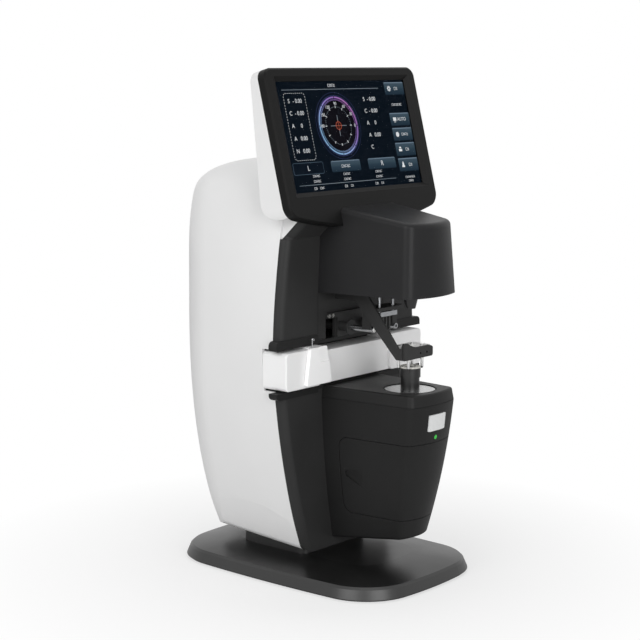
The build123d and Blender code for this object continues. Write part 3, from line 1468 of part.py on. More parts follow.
with BuildPart() as data_port:
    add(box_between((port_x - port_half - port_wall, panel_y - port_depth - port_wall,
                     panel_mid_z - port_half - port_wall),
                    (port_x + port_half + port_wall, panel_y, panel_mid_z + port_half + port_wall)))
    add(box_between((port_x - port_half, panel_y - port_depth, panel_mid_z - port_half),
                    (port_x + port_half, panel_y, panel_mid_z + port_half)), mode=Mode.SUBTRACT)
    add(box_between((port_x - port_tongue_half, panel_y - port_depth, panel_mid_z - port_wall),
                    (port_x + port_tongue_half, panel_y - 2 * port_wall, panel_mid_z + port_wall)))
data_port.part.label = "data_port"
export_step(data_port.part, "parts/data_port.step")

# Small screws: on the marker bracket and in the corners of the rear panel
with BuildPart() as small_screws:
    for side in (-1, 1):
        for step in (0, bracket_screw_pitch):
            with BuildSketch(Plane.XZ.offset(-bracket_y)):
                with Locations((side * (bracket_screw_x + step), bracket_screw_z)):
                    Circle(screw_head_r)
            extrude(amount=screw_head_t)
            add(box_between((side * (bracket_screw_x + step) - screw_slot_w / 2, -far,
                             bracket_screw_z - screw_head_r),
                            (side * (bracket_screw_x + step) + screw_slot_w / 2,
                             bracket_y - screw_head_t / 2, bracket_screw_z + screw_head_r)),
                mode=Mode.SUBTRACT)
        with BuildSketch(Plane.XZ.offset(-panel_y)):
            with Locations((side * (panel_half_w - 2 * screw_head_r), panel_low_z + 2 * screw_head_r),
                           (side * (panel_half_w - 2 * screw_head_r), panel_high_z - 2 * screw_head_r)):
                Circle(screw_head_r)
        extrude(amount=-screw_head_t)
small_screws.part.label = "small_screws"
export_step(small_screws.part, "parts/small_screws.step")
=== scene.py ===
# %% [markdown]
# This scene dresses an auto lensmeter: a bench instrument that measures spectacle lenses.
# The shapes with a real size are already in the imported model, so the scene loads that model
# first and keeps it as a fixed frame. What is left for Blender is how each surface looks, the
# lit picture on the screen, and small details that are too fine for the solids.

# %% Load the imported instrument
import json
import math
import bpy
from mathutils import Matrix, Vector

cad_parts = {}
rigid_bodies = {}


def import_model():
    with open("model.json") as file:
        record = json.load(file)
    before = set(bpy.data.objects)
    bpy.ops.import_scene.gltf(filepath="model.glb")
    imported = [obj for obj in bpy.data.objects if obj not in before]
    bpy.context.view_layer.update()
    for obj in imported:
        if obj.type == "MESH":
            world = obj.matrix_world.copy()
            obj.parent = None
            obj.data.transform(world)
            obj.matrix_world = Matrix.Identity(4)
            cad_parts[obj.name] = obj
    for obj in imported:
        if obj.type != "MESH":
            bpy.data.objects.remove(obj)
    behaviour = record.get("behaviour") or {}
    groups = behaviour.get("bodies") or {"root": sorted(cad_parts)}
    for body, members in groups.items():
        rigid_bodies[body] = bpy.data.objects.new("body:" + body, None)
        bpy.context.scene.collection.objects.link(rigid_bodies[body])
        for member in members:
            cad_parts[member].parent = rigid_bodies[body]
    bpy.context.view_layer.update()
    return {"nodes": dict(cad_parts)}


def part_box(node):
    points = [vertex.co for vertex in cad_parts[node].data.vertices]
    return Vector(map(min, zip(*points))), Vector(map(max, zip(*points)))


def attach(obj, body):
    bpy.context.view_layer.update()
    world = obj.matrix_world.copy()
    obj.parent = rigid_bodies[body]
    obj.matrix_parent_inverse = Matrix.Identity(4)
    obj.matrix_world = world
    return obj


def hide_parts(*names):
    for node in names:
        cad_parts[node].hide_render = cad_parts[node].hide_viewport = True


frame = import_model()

# %% [markdown]
# Colours are written as they are seen on a screen, in sRGB hex, and the shaders want linear
# light, so one function turns one into the other. One more function adds a shader node: a
# value that is a socket is linked, and any other value is set. A material made with these two
# reads from top to bottom like a recipe.

# %% Colour and node helpers
def linear(code):
    """Turns an sRGB hex colour into linear light with full alpha."""
    parts = [int(code[i:i + 2], 16) / 255 for i in (1, 3, 5)]
    return tuple(c / 12.92 if c < 0.04045 else ((c + 0.055) / 1.055) ** 2.4 for c in parts) + (1,)


def add(material, kind, inputs=None, **settings):
    """Adds one shader node, with its settings, values and links."""
    node = material.node_tree.nodes.new(kind)
    for name, value in settings.items():
        setattr(node, name, value)
    for name, value in (inputs or {}).items():
        if isinstance(value, bpy.types.NodeSocket):
            material.node_tree.links.new(value, node.inputs[name])
        else:
            node.inputs[name].default_value = value
    return node


def new_material(name):
    """An empty material, ready for its nodes."""
    material = bpy.data.materials.new(name)
    material.use_nodes = True
    material.node_tree.nodes.clear()
    return material


def finish_material(material, shader, colour):
    """Links the last shader to the output and sets the colour for plain views."""
    add(material, "ShaderNodeOutputMaterial", {"Surface": shader.outputs[0]})
    material.diffuse_color = linear(colour)
    return material


def ramp(material, factor, stops):
    """A colour ramp with the given places and sRGB colours."""
    node = add(material, "ShaderNodeValToRGB", {"Fac": factor})
    while len(node.color_ramp.elements) < len(stops):
        node.color_ramp.elements.new(0.5)
    for element, (place, colour) in zip(node.color_ramp.elements, stops):
        element.position = place
        element.color = linear(colour)
    return node


# %% [markdown]
# Most of the housing is injection-moulded ABS. The mould is spark eroded, which leaves a fine
# even grain that breaks up reflections, and the wall cools unevenly, which clouds the gloss a
# little. Noise at two scales gives both: a fine one for bump, a broad one for roughness. The
# real grain is about 0.1 mm, too fine for this picture, so it is drawn about ten times coarser.
# A noise seldom leaves the middle of its range, so the ramps span only that part. Rubber, powder
# coat and solder mask are uneven in the same two ways, so they share the recipe.

# %% Moulded plastics
cloud_mm = 60
noise_low, noise_high = 0.3, 0.7


def moulded(name, dark, light, roughness, grain_mm, depth_mm, spread=0.05, coat=0.0, shine=0.3):
    """Moulded plastic: clouded colour and gloss over a fine spark-eroded grain."""
    plastic = new_material(name)
    place = add(plastic, "ShaderNodeTexCoord").outputs["Object"]
    clouds = add(plastic, "ShaderNodeTexNoise", {"Vector": place, "Scale": 1000 / cloud_mm,
                                                 "Detail": 3.0, "Roughness": 0.5})
    grain = add(plastic, "ShaderNodeTexNoise", {"Vector": place, "Scale": 1000 / grain_mm,
                                                "Detail": 2.0, "Roughness": 0.6})
    tint = ramp(plastic, clouds.outputs["Fac"], [(noise_low, dark), (noise_high, light)])
    gloss = add(plastic, "ShaderNodeMapRange", {
        "Value": clouds.outputs["Fac"], "From Min": noise_low, "From Max": noise_high,
        "To Min": roughness - spread, "To Max": roughness + spread})
    relief = add(plastic, "ShaderNodeBump", {"Height": grain.outputs["Fac"], "Strength": 0.6,
                                             "Distance": depth_mm / 1000})
    body = add(plastic, "ShaderNodeBsdfPrincipled",
               {"Base Color": tint.outputs["Color"], "Roughness": gloss.outputs["Result"],
                "IOR": 1.5, "Specular IOR Level": shine, "Coat Weight": coat,
                "Coat Roughness": 0.25, "Normal": relief.outputs["Normal"]})
    return finish_material(plastic, body, light)


# name, darker and lighter colour, roughness, width and depth of the grain in mm
black_abs = moulded("black_abs_spark_eroded", "#1E1E1E", "#212121", 0.46, 0.9, 0.03, shine=0.15)
# the column's front is the same black ABS drawn lighter: painted light from the front-left
column_abs_painted_lighter = moulded("black_abs_column_painted_lighter", "#2B2B2B", "#2F2F2F", 0.46, 0.9, 0.03, shine=0.15)
hood_abs = moulded("black_abs_fine_satin", "#1D1D1E", "#202021", 0.38, 0.9, 0.015, shine=0.17)
bezel_abs = moulded("black_abs_bezel", "#131313", "#151515", 0.42, 0.9, 0.02, shine=0.1)
base_abs = moulded("black_abs_base_cover", "#121212", "#141414", 0.36, 1.2, 0.01, shine=0.6)
shell_abs = moulded("white_painted_abs", "#E0E0E0", "#E2E2E2", 0.36, 1.6, 0.012, spread=0.02,
                    shine=0.25)
table_abs = moulded("white_abs_table_cover", "#ECECEC", "#EEEEEE", 0.38, 1.2, 0.02, spread=0.02)
slider_abs = moulded("white_abs_slider", "#FBFBFB", "#FDFDFD", 0.38, 1.2, 0.02, spread=0.02)
white_pom = moulded("white_acetal_machined", "#EEEEEC", "#F1F1EF", 0.42, 0.8, 0.02)
black_pom = moulded("black_acetal_turned", "#161616", "#1A1A1A", 0.30, 0.8, 0.02, shine=0.5)
button_abs = moulded("light_grey_abs_button", "#DADBDB", "#DFE0E0", 0.36, 0.9, 0.015)
disc_acrylic = moulded("grey_acrylic_disc", "#4A4B4C", "#4E4F50", 0.10, 1.5, 0.001, spread=0.02,
                       coat=1.0, shine=0.8)
# this dark rubber also colours the ring in the disc's groove, which is painted shade
rubber_and_groove_shade = moulded("black_nitrile_rubber_and_groove_shade", "#151515", "#1C1C1C", 0.75, 0.8, 0.05)
ring_tpe = moulded("pale_thermoplastic_rubber", "#C9C8C2", "#D2D1CB", 0.55, 0.8, 0.03)
board_mask = moulded("green_solder_mask", "#0F4A26", "#15602F", 0.3, 3.0, 0.03)
powder_coat = moulded("black_powder_coat_on_steel", "#262626", "#2A2A2A", 0.5, 0.7, 0.05)
lcd_frame = moulded("black_lcd_frame_tape", "#0A0B0D", "#0D0E10", 0.5, 0.8, 0.01)
print("moulded finishes made")


# %% [markdown]
# The metal parts keep the default index of refraction. What tells them apart is how they were
# finished: a rod is ground along its length, an aluminium block is anodised and slightly dull,
# a cast plate is rough. Stretched noise gives the grinding lines, along the part's own length.

# %% Metals
tool_gloss = 0.06


def metal(name, dark, light, roughness, stretch, line_mm, depth_mm):
    """Bare or plated metal with tool marks stretched along one axis."""
    bare = new_material(name)
    place = add(bare, "ShaderNodeTexCoord").outputs["Object"]
    drawn = add(bare, "ShaderNodeMapping", {"Vector": place, "Scale": stretch})
    marks = add(bare, "ShaderNodeTexNoise", {"Vector": drawn.outputs["Vector"],
                                             "Scale": 1000 / line_mm, "Detail": 2.0})
    tint = ramp(bare, marks.outputs["Fac"], [(noise_low, dark), (noise_high, light)])
    gloss = add(bare, "ShaderNodeMapRange", {"Value": marks.outputs["Fac"],
                                             "To Min": roughness - tool_gloss,
                                             "To Max": roughness + tool_gloss})
    relief = add(bare, "ShaderNodeBump", {"Height": marks.outputs["Fac"], "Strength": 0.5,
                                          "Distance": depth_mm / 1000})
    body = add(bare, "ShaderNodeBsdfPrincipled",
               {"Base Color": tint.outputs["Color"], "Metallic": 1.0,
                "Roughness": gloss.outputs["Result"], "Normal": relief.outputs["Normal"]})
    return finish_material(bare, body, light)


# name, colours, roughness, stretch along x, y and z, width and depth of the tool marks in mm
ground_steel = metal("ground_steel_rod", "#A9AAAC", "#C2C3C5", 0.24, (1, 0.08, 1), 0.6, 0.01)
pin_steel = metal("polished_stainless_pin", "#C4C4C4", "#DCDCDC", 0.2, (1, 1, 0.1), 0.6, 0.005)
anodised = metal("clear_anodised_aluminium", "#9FA1A4", "#B4B6B9", 0.38, (0.2, 1, 1), 0.7, 0.01)
zinc_steel = metal("zinc_plated_steel_sheet", "#8C9195", "#A3A8AB", 0.4, (1, 1, 0.5), 3.0, 0.01)
bronze = metal("sintered_bronze", "#8A6A3C", "#A27E4A", 0.5, (1, 1, 1), 0.8, 0.04)
grey_iron = metal("grey_cast_iron", "#3A3A3B", "#4A4A4B", 0.7, (1, 1, 1), 2.0, 0.12)
nickel_screw = metal("nickel_plated_screw", "#C9C9C6", "#DEDEDB", 0.28, (1, 1, 1), 0.6, 0.01)
print("metals made")

# %% [markdown]
# The two lenses inside are optical glass: clear, smooth and with a little dust that only shows
# as a trace of roughness. The status lamp is cast epoxy with a green light behind it.

# %% Glass and lamp
lens_glass = new_material("coated_optical_glass")
dust = add(lens_glass, "ShaderNodeTexNoise",
           {"Vector": add(lens_glass, "ShaderNodeTexCoord").outputs["Object"], "Scale": 900.0})
haze = add(lens_glass, "ShaderNodeMapRange", {"Value": dust.outputs["Fac"], "To Min": 0.0,
                                              "To Max": 0.05})
finish_material(lens_glass, add(lens_glass, "ShaderNodeBsdfPrincipled",
                                {"Base Color": linear("#EAF2F6"), "Transmission Weight": 1.0,
                                 "IOR": 1.52, "Roughness": haze.outputs["Result"]}), "#EAF2F6")

lamp_epoxy = new_material("green_epoxy_lamp")
glow_spot = add(lamp_epoxy, "ShaderNodeTexNoise",
                {"Vector": add(lamp_epoxy, "ShaderNodeTexCoord").outputs["Object"], "Scale": 700.0})
glow = ramp(lamp_epoxy, glow_spot.outputs["Fac"], [(0.35, "#1F9A2C"), (0.65, "#35B842")])
finish_material(lamp_epoxy, add(lamp_epoxy, "ShaderNodeBsdfPrincipled",
                                {"Base Color": glow.outputs["Color"], "Roughness": 0.2,
                                 "Emission Color": glow.outputs["Color"],
                                 "Emission Strength": 0.35}), "#2FB03C")

# %% [markdown]
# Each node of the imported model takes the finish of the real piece. The mesh stays as it is, and
# only the material in its slots changes.

# %% Give the solids their finishes
finishes = {
    base_abs: ["base_plate", "pedestal"],
    grey_iron: ["ballast_plate"],
    rubber_and_groove_shade: ["rubber_feet"],
    bezel_abs: ["display_bezel"],
    shell_abs: ["rear_cover", "display_housing"],
    column_abs_painted_lighter: ["upper_fascia", "lower_fascia"],
    black_abs: ["slot_frame", "measuring_box", "access_cover", "deck_cap", "rear_panel"],
    hood_abs: ["hood"],
    disc_acrylic: ["deck_disc"],
    black_pom: ["nosepiece", "light_nozzle", "measuring_tube", "power_inlet", "power_rocker",
                "marker_pens"],
    ring_tpe: ["nose_ring"],
    button_abs: ["memory_button"],
    lamp_epoxy: ["status_lamp"],
    table_abs: ["lens_table"],
    slider_abs: ["pd_slider"],
    ground_steel: ["guide_rods", "holder_rail", "marker_rods", "slider_hook"],
    pin_steel: ["lens_pin_1", "lens_pin_2", "lens_pin_3", "lens_pin_4"],
    powder_coat: ["holder_arm", "holder_bar", "marker_bracket", "marker_carriage"],
    white_pom: ["pin_plate", "pin_bushes", "rod_cap"],
    lcd_frame: ["lcd_panel"],
    bronze: ["guide_bushes"],
    nickel_screw: ["small_screws"],
    anodised: ["holder_carriage", "rail_bracket", "marker_head", "optic_arm", "lamp_heatsink",
               "tube_arm"],
    zinc_steel: ["chassis_spine", "power_supply", "data_port"],
    board_mask: ["lamp_board", "sensor_board", "main_board"],
    lens_glass: ["condenser_lens", "objective_lens"]}
for finish, names in finishes.items():
    for name in names:
        for slot in frame["nodes"][name].material_slots:
            slot.material = finish
print("solids dressed:", sum(len(names) for names in finishes.values()))

# %% [markdown]
# The screen shows a measuring picture. An image texture would be the usual way, but here it is
# laid out in real millimetres instead, as the programmer of such a screen does: flat patches,
# rings and strokes of lit pixels in layers, each a little over the last, behind a thin cover
# glass. So it stays sharp close up. One matrix carries a drawing made flat on XY onto the tilted
# panel. Its origin is the middle of the lit area's foot, and the picture's places are in mm.

# %% The screen's plane
tilt = math.radians(14.33)
picture_foot = (0, -0.0424, 0.3492)
screen = Matrix.Translation(picture_foot) @ Matrix.Rotation(math.radians(90) - tilt, 4, "X")
panel_w, panel_h = 176.6, 96.4
panel_depth = 0.9  # from the glass's face back to the picture's ground, in mm
layer_step = 0.05  # from one layer to the next, in mm
film_thick = 0.00003  # of one layer, in metres
print("screen tilt:", round(math.degrees(tilt), 2))


def settle(piece):
    """Puts a piece's place, turn and scale into its mesh."""
    bpy.ops.object.select_all(action="DESELECT")
    piece.select_set(True)
    bpy.context.view_layer.objects.active = piece
    bpy.ops.object.transform_apply(location=True, rotation=True, scale=True)


def joined(name, parts):
    """Makes one piece of several."""
    bpy.ops.object.select_all(action="DESELECT")
    for part in parts:
        part.select_set(True)
    bpy.context.view_layer.objects.active = parts[0]
    if len(parts) > 1:
        bpy.ops.object.join()
    parts[0].name = name
    return parts[0]


# %% [markdown]
# A lit pixel gives light and hardly reflects any, so the picture's materials are mostly emission
# over a dark, dull base. The backlight behind them is never quite even, which a broad noise
# shows. The dark ground has a faint diagonal weave. The patterns read the piece's own UV map or
# Object coordinates, so they stay in place.

# %% Lit pixels
backlight_mm, weave_mm = 25, 1.4
dark_base = {"Base Color": linear("#050608"), "Roughness": 0.5, "Specular IOR Level": 0.0}


def lit(name, low, high):
    """Pixels of one colour over an uneven backlight."""
    pixels = new_material(name)
    place = add(pixels, "ShaderNodeTexCoord").outputs["Object"]
    uneven = add(pixels, "ShaderNodeTexNoise", {"Vector": place, "Scale": 1000 / backlight_mm,
                                                "Detail": 1.0})
    colour = ramp(pixels, uneven.outputs["Fac"], [(0.35, low), (0.65, high)])
    return finish_material(pixels, add(pixels, "ShaderNodeBsdfPrincipled", {
        **dark_base, "Emission Color": colour.outputs["Color"], "Emission Strength": 1.0}), high)


white_pixels = lit("lcd_pixels_white", "#CDD1D5", "#DDE0E2")
grey_pixels = lit("lcd_pixels_grey", "#75818B", "#8B969F")
rim_pixels = lit("lcd_pixels_button_rim", "#4F6170", "#5F7281")
orange_pixels = lit("lcd_pixels_orange", "#A84A34", "#B85A40")
dusk_pixels = lit("lcd_pixels_dusk_blue", "#242A48", "#30365A")
ink_pixels = lit("lcd_pixels_disc", "#0B0B10", "#100E13")
dark_pixels = lit("lcd_pixels_dark_button", "#0A121B", "#0D1620")

night = new_material("lcd_pixels_night_blue")
weave_place = add(night, "ShaderNodeMapping", {
    "Vector": add(night, "ShaderNodeTexCoord").outputs["Object"],
    "Rotation": (0, math.radians(45), 0)})
weave = add(night, "ShaderNodeTexChecker", {
    "Vector": weave_place.outputs["Vector"], "Scale": 1000 / weave_mm,
    "Color1": linear("#080F17"), "Color2": linear("#091119")})
finish_material(night, add(night, "ShaderNodeBsdfPrincipled", {
    **dark_base, "Emission Color": weave.outputs["Color"], "Emission Strength": 1.0}), "#0B1520")

# %% [markdown]
# A button on the screen is drawn as if lit from above: pale at its top edge, darker below. Its
# patch's UV map runs from 0 at the foot to 1 at the top, so a ramp on it gives every button the
# same shading. The ring's colour turns from blue at the lower left to pink at the upper right.

# %% Shaded pixels
slate = new_material("lcd_pixels_slate_button")
button_place = add(slate, "ShaderNodeSeparateXYZ", {
    "Vector": add(slate, "ShaderNodeTexCoord").outputs["UV"]})
slate_shade = ramp(slate, button_place.outputs["Y"], [
    (0.0, "#16222D"), (0.06, "#1F2E3A"), (0.45, "#2A3A46"), (0.6, "#33444F"), (0.9, "#3C4C58"),
    (0.97, "#6E8090")])
finish_material(slate, add(slate, "ShaderNodeBsdfPrincipled", {
    **dark_base, "Emission Color": slate_shade.outputs["Color"],
    "Emission Strength": 1.0}), "#2C3C48")

rainbow = new_material("lcd_pixels_ring")
to_dial_centre = (0.0145, 0, -0.4041)
ring_place = add(rainbow, "ShaderNodeMapping", {
    "Vector": add(rainbow, "ShaderNodeTexCoord").outputs["Object"], "Location": to_dial_centre})
ring_side = add(rainbow, "ShaderNodeVectorMath", {0: ring_place.outputs["Vector"], 1: (14, 0, 13)},
                operation="DOT_PRODUCT")
ring_share = add(rainbow, "ShaderNodeMath", {0: ring_side.outputs["Value"], 1: 0.5},
                 operation="ADD")
ring_shade = ramp(rainbow, ring_share.outputs[0], [
    (0.1, "#7FA8CE"), (0.4, "#8C9CD0"), (0.55, "#8878BC"), (0.8, "#8C68B0"), (1.0, "#A56CA8")])
finish_material(rainbow, add(rainbow, "ShaderNodeBsdfPrincipled", {
    **dark_base, "Emission Color": ring_shade.outputs["Color"],
    "Emission Strength": 1.0}), "#8E86CC")
print("screen finishes made")


# %% [markdown]
# A patch starts as a plane of its real size. Its corners are rounded by bevelling the vertices,
# which is the flat form of a rounded rectangle. A ring starts as a circle with no face, whose
# edge is extruded and drawn in. A letter starts as a text object, which is made a mesh at once.

# %% Patches, rings and letters
def patch(x, y, w, h, corner=0.0):
    """A flat patch of the picture: lower left corner, size and corner radius in mm."""
    bpy.ops.object.select_all(action="DESELECT")
    bpy.ops.mesh.primitive_plane_add(size=0.001,
                                     location=((x + w / 2) / 1000, (y + h / 2) / 1000, 0))
    piece = bpy.context.object
    piece.scale = (w, h, 1)
    settle(piece)
    if corner:
        bpy.ops.object.mode_set(mode="EDIT")
        bpy.ops.mesh.select_all(action="SELECT")
        bpy.ops.mesh.bevel(offset=corner / 1000, segments=4, affect="VERTICES")
        bpy.ops.object.mode_set(mode="OBJECT")
    return piece


def ring(x, y, outer, width, steps=120):
    """A flat ring about a point, its outer radius and width in mm."""
    bpy.ops.object.select_all(action="DESELECT")
    bpy.ops.mesh.primitive_circle_add(vertices=steps, radius=outer / 1000,
                                      location=(x / 1000, y / 1000, 0))
    piece = bpy.context.object
    settle(piece)
    bpy.ops.object.mode_set(mode="EDIT")
    bpy.ops.mesh.select_all(action="SELECT")
    share = (outer - width) / outer
    bpy.ops.mesh.extrude_edges_move()
    bpy.ops.transform.resize(value=(share, share, 1), center_override=(x / 1000, y / 1000, 0))
    bpy.ops.object.mode_set(mode="OBJECT")
    return piece


def letters(text, x, y, height):
    """A word or number about a point, its height in mm. A capital is 0.7 of the text's size."""
    bpy.ops.object.select_all(action="DESELECT")
    bpy.ops.object.text_add(location=(0, 0, 0))
    piece = bpy.context.object
    piece.data.body = text
    piece.data.size = height / 700
    piece.data.align_x, piece.data.align_y = "CENTER", "CENTER"
    bpy.ops.object.convert(target="MESH")
    piece = bpy.context.object
    piece.location = (x / 1000, y / 1000, 0)
    settle(piece)
    return piece


def around(x, y, radius, degrees):
    """Places (x, y, turn) on a circle about a point, one for each angle."""
    return [(x + radius * math.cos(a), y + radius * math.sin(a), a)
            for a in map(math.radians, degrees)]


def repeat(first, places):
    """Copies a piece, each copy with its own mesh, to places (x, y, turn) about the origin."""
    copies = [first]
    for x, y, turn in places[1:]:
        copy = first.copy()
        copy.data = first.data.copy()
        bpy.context.scene.collection.objects.link(copy)
        copies.append(copy)
    for copy, (x, y, turn) in zip(copies, places):
        place = Matrix.Translation((x / 1000, y / 1000, 0))
        copy.matrix_world = place @ Matrix.Rotation(turn, 4, "Z")
    return copies


def show(name, parts, layer, finish):
    """Joins parts, gives them the thickness of a film and lays them in a layer of the panel."""
    piece = joined(name, parts)
    settle(piece)
    film = piece.modifiers.new("film", "SOLIDIFY")
    film.thickness, film.offset = film_thick, 1
    bpy.ops.object.modifier_apply(modifier=film.name)
    depth = (layer * layer_step - panel_depth) / 1000
    piece.matrix_world = screen @ Matrix.Translation((0, 0, depth))
    settle(piece)
    piece.data.materials.clear()
    piece.data.materials.append(finish)
    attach(piece, "stand")


# %% [markdown]
# The picture's ground fills the lit area. Two fine rules divide it, and a dashed frame with cut
# corners holds the readings of the lens in use. One dash is drawn, and copies walk round a path.

# %% Ground, rules and dashed frame
show("screen_ground", [patch(-panel_w / 2, 0, panel_w, panel_h)], 0, night)
show("screen_rules", [patch(-81, 89.1, 132, 0.35), patch(-81, 6.1, 133, 0.35)], 1, grey_pixels)

dash_pitch = 2.5
corners = [(-78.2, 86.3), (-54.5, 86.3), (-52.5, 84.3), (-52.5, 30), (-54.5, 28), (-78.2, 28),
           (-80.2, 30), (-80.2, 84.3)]
walk = []
for (x0, y0), (x1, y1) in zip(corners, corners[1:] + corners[:1]):
    run = math.hypot(x1 - x0, y1 - y0)
    count = max(1, round(run / dash_pitch))
    for step in range(count):
        share = (step + 0.5) / count
        walk.append((x0 + share * (x1 - x0), y0 + share * (y1 - y0),
                     math.atan2(y1 - y0, x1 - x0)))
show("screen_frame_dashes", repeat(patch(-0.6, -0.2, 1.2, 0.4), walk), 1, white_pixels)
print("dashes:", len(walk))

# %% [markdown]
# The angle dial: a dark disc, a bright band with eight gaps, a comb of fine lines inside it, a
# dotted circle with twelve ticks and the usual axis numbers from 0 to 180. The band's gaps are
# made by deleting the faces at those places, which are found by their angle.

# %% Angle dial
dial_x, dial_y = -14.5, 56.6
outer_r, shade_r, band_r, disc_r, comb_r, tick_r = 29.8, 27.4, 26.0, 24.0, 23.3, 16.8
show("dial_disc", [ring(dial_x, dial_y, disc_r, disc_r - 0.1)], 1, ink_pixels)
show("dial_halo", [ring(dial_x, dial_y, outer_r, 0.35), ring(dial_x, dial_y, shade_r, 0.8)], 1,
     dusk_pixels)

gap_pitch, gap_half, gap_shift = 45, 1.3, 1.0
band = ring(dial_x, dial_y, band_r, 1.3, steps=192)
bpy.ops.object.mode_set(mode="EDIT")
bpy.ops.mesh.select_all(action="DESELECT")
bpy.ops.mesh.select_mode(type="FACE")
bpy.ops.object.mode_set(mode="OBJECT")
for face in band.data.polygons:
    angle = gap_shift + math.degrees(math.atan2(face.center.y - dial_y / 1000,
                                                face.center.x - dial_x / 1000))
    face.select = abs((angle + gap_pitch / 2) % gap_pitch - gap_pitch / 2) < gap_half
bpy.ops.object.mode_set(mode="EDIT")
bpy.ops.mesh.delete(type="FACE")
bpy.ops.object.mode_set(mode="OBJECT")
show("dial_band", [band], 2, rainbow)

comb = around(dial_x, dial_y, comb_r, [2.5 * n for n in range(144)])
ticks = around(dial_x, dial_y, tick_r, [30 * n for n in range(12)])
dots = around(dial_x, dial_y, tick_r, [6 * n for n in range(60) if n % 5])
show("dial_comb", repeat(patch(-0.75, -0.16, 1.5, 0.32), comb), 2, rainbow)
show("dial_ticks", repeat(patch(-1.1, -0.35, 2.2, 0.7, corner=0.2), ticks), 2, white_pixels)
show("dial_dots", repeat(patch(-0.3, -0.25, 0.6, 0.5), dots), 2, grey_pixels)
numbers = [("90", -14.1, 76.3), ("60", -3.1, 73.5), ("30", 4.9, 66.6), ("0", 7.9, 56.2),
           ("120", -25.1, 73.2), ("150", -33.2, 66.5), ("180", -36.6, 56.7)]
show("dial_numbers", [letters(text, x, y, 2.7) for text, x, y in numbers], 2, white_pixels)
show("dial_cross", [patch(dial_x - 10.5, dial_y - 0.2, 7.6, 0.4),
                    patch(dial_x + 3.4, dial_y - 0.2, 7.6, 0.4),
                    patch(dial_x - 0.25, dial_y - 9.2, 0.5, 6.4),
                    patch(dial_x - 0.25, dial_y + 3.4, 0.5, 6.0)], 2, grey_pixels)
show("dial_target", [ring(dial_x, dial_y, 3.7, 0.45, steps=48),
                     patch(dial_x - 4.6, dial_y - 0.15, 9.2, 0.3),
                     patch(dial_x - 0.15, dial_y - 4.6, 0.3, 9.2)], 3, orange_pixels)
print("dial drawn:", len(comb), "lines,", len(ticks), "ticks,", len(dots), "dots")

# %% [markdown]
# The readings are plain letters and figures, set in two columns. The names of buttons and the
# notes are strokes that only look like small print, because the instrument carries no wording.

# %% Readings and small print
rows = [79.4, 68.7, 57.8, 46.8, 35.9]
left_column = [("S", "- 0.00"), ("C", "- 0.00"), ("A", "0"), ("A", "0.00"), ("N", "0.00")]
right_column = [("S", "- 0.00"), ("C", "- 0.00"), ("A", "0"), ("A", "0.00"), ("C", "")]
reading_h, eye_h, mode_h = 3.6, 4.4, 3.2
readings = []
for y, (label, value), (label_r, value_r) in zip(rows, left_column, right_column):
    readings.append(letters(label, -74.5, y, reading_h))
    readings.append(letters(value, -63.5, y, reading_h))
    readings.append(letters(label_r, 27.0, y, reading_h))
    if value_r:
        readings.append(letters(value_r, 37.5, y, reading_h))
readings.append(letters("L", -65.1, 20.7, eye_h))
readings.append(letters("R", 36.0, 20.7, eye_h))
readings.append(letters("AUTO", 76.5, 60.0, mode_h))
show("screen_readings", readings, 4, white_pixels)


def small_print(x, y, count, height):
    """A run of strokes about a point that reads as small print from a step away."""
    strokes = []
    pitch, thick = 0.95 * height, 0.13 * height
    bar_w, indent = 0.55 * height, 0.2 * height
    for number in range(count):
        left = x + (number - count / 2) * pitch
        upper = y + (0.36 - 0.2 * (number % 2)) * height
        lower = y - (0.5 - 0.1 * (number % 3)) * height
        strokes += [patch(left, y - height / 2, 0.14 * height, height),
                    patch(left + indent, upper, bar_w, thick),
                    patch(left + indent, lower, bar_w, thick)]
        if number % 2:
            strokes.append(patch(left + 0.5 * height, y - 0.4 * height, thick, 0.8 * height))
    return strokes


# the middle of each run, its number of signs and its height
button_names = [(-14.4, 92.6, 4, 2.6), (73.6, 73.7, 7, 2.2), (76.5, 88.6, 2, 2.8),
                (77.2, 46.0, 4, 2.5), (76.8, 32.0, 2, 2.8), (77.2, 17.7, 2, 2.8),
                (-14.9, 20.7, 5, 2.6)]
foot_notes = [(x, y, 5, 2.0) for x in (-56.7, -15.9, 29.0) for y in (13.7, 9.2)]
status_line = [(-60.5, 3.0, 2, 2.2), (-52.0, 3.0, 3, 2.0), (-19.5, 3.0, 2, 2.2),
               (-11.5, 3.0, 2, 2.0), (23.5, 3.0, 2, 2.2), (31.5, 3.0, 2, 2.0),
               (73.3, 6.4, 8, 1.8), (73.7, 2.9, 4, 1.8)]
words = []
for x, y, count, height in button_names + foot_notes + status_line:
    words += small_print(x, y, count, height)
show("screen_small_print", words, 4, white_pixels)

# %% [markdown]
# Three buttons lie along the foot of the picture and five down its right side, flush with the
# edge. Each side button has a small white sign: a cog, a display, a ball, a printer and a bell.

# %% Buttons and signs
# the foot and the height of each button at the side
side_rows = [(82.8, 11.7), (54.1, 11.8), (40.1, 11.9), (25.9, 12.3), (11.7, 12.1)]
side_buttons = [patch(60.0, y, 28.3, h, corner=1.0) for y, h in side_rows]
foot_buttons = [patch(-34.9, 15.8, 39.9, 9.9, corner=1.6),
                patch(16.3, 15.8, 39.4, 9.9, corner=1.6)]
show("screen_buttons", side_buttons + foot_buttons, 2, slate)
show("screen_button_rim", [patch(-84.9, 15.6, 39.6, 10.3, corner=1.6)], 1, rim_pixels)
show("screen_button_dark", [patch(-84.6, 15.9, 39.0, 9.7, corner=1.4)], 2, dark_pixels)
sign_x = 66.3
teeth = around(sign_x, 88.6, 2.2, [45 * n for n in range(8)])
cog = [ring(sign_x, 88.6, 2.0, 1.1, steps=32)] + repeat(patch(-0.45, -0.4, 0.9, 0.8), teeth)
display = [patch(sign_x - 2.3, 58.6, 4.6, 3.2, corner=0.4), patch(sign_x - 1.2, 57.3, 2.4, 0.6)]
ball = [ring(sign_x, 46.0, 2.3, 2.25, steps=32)]
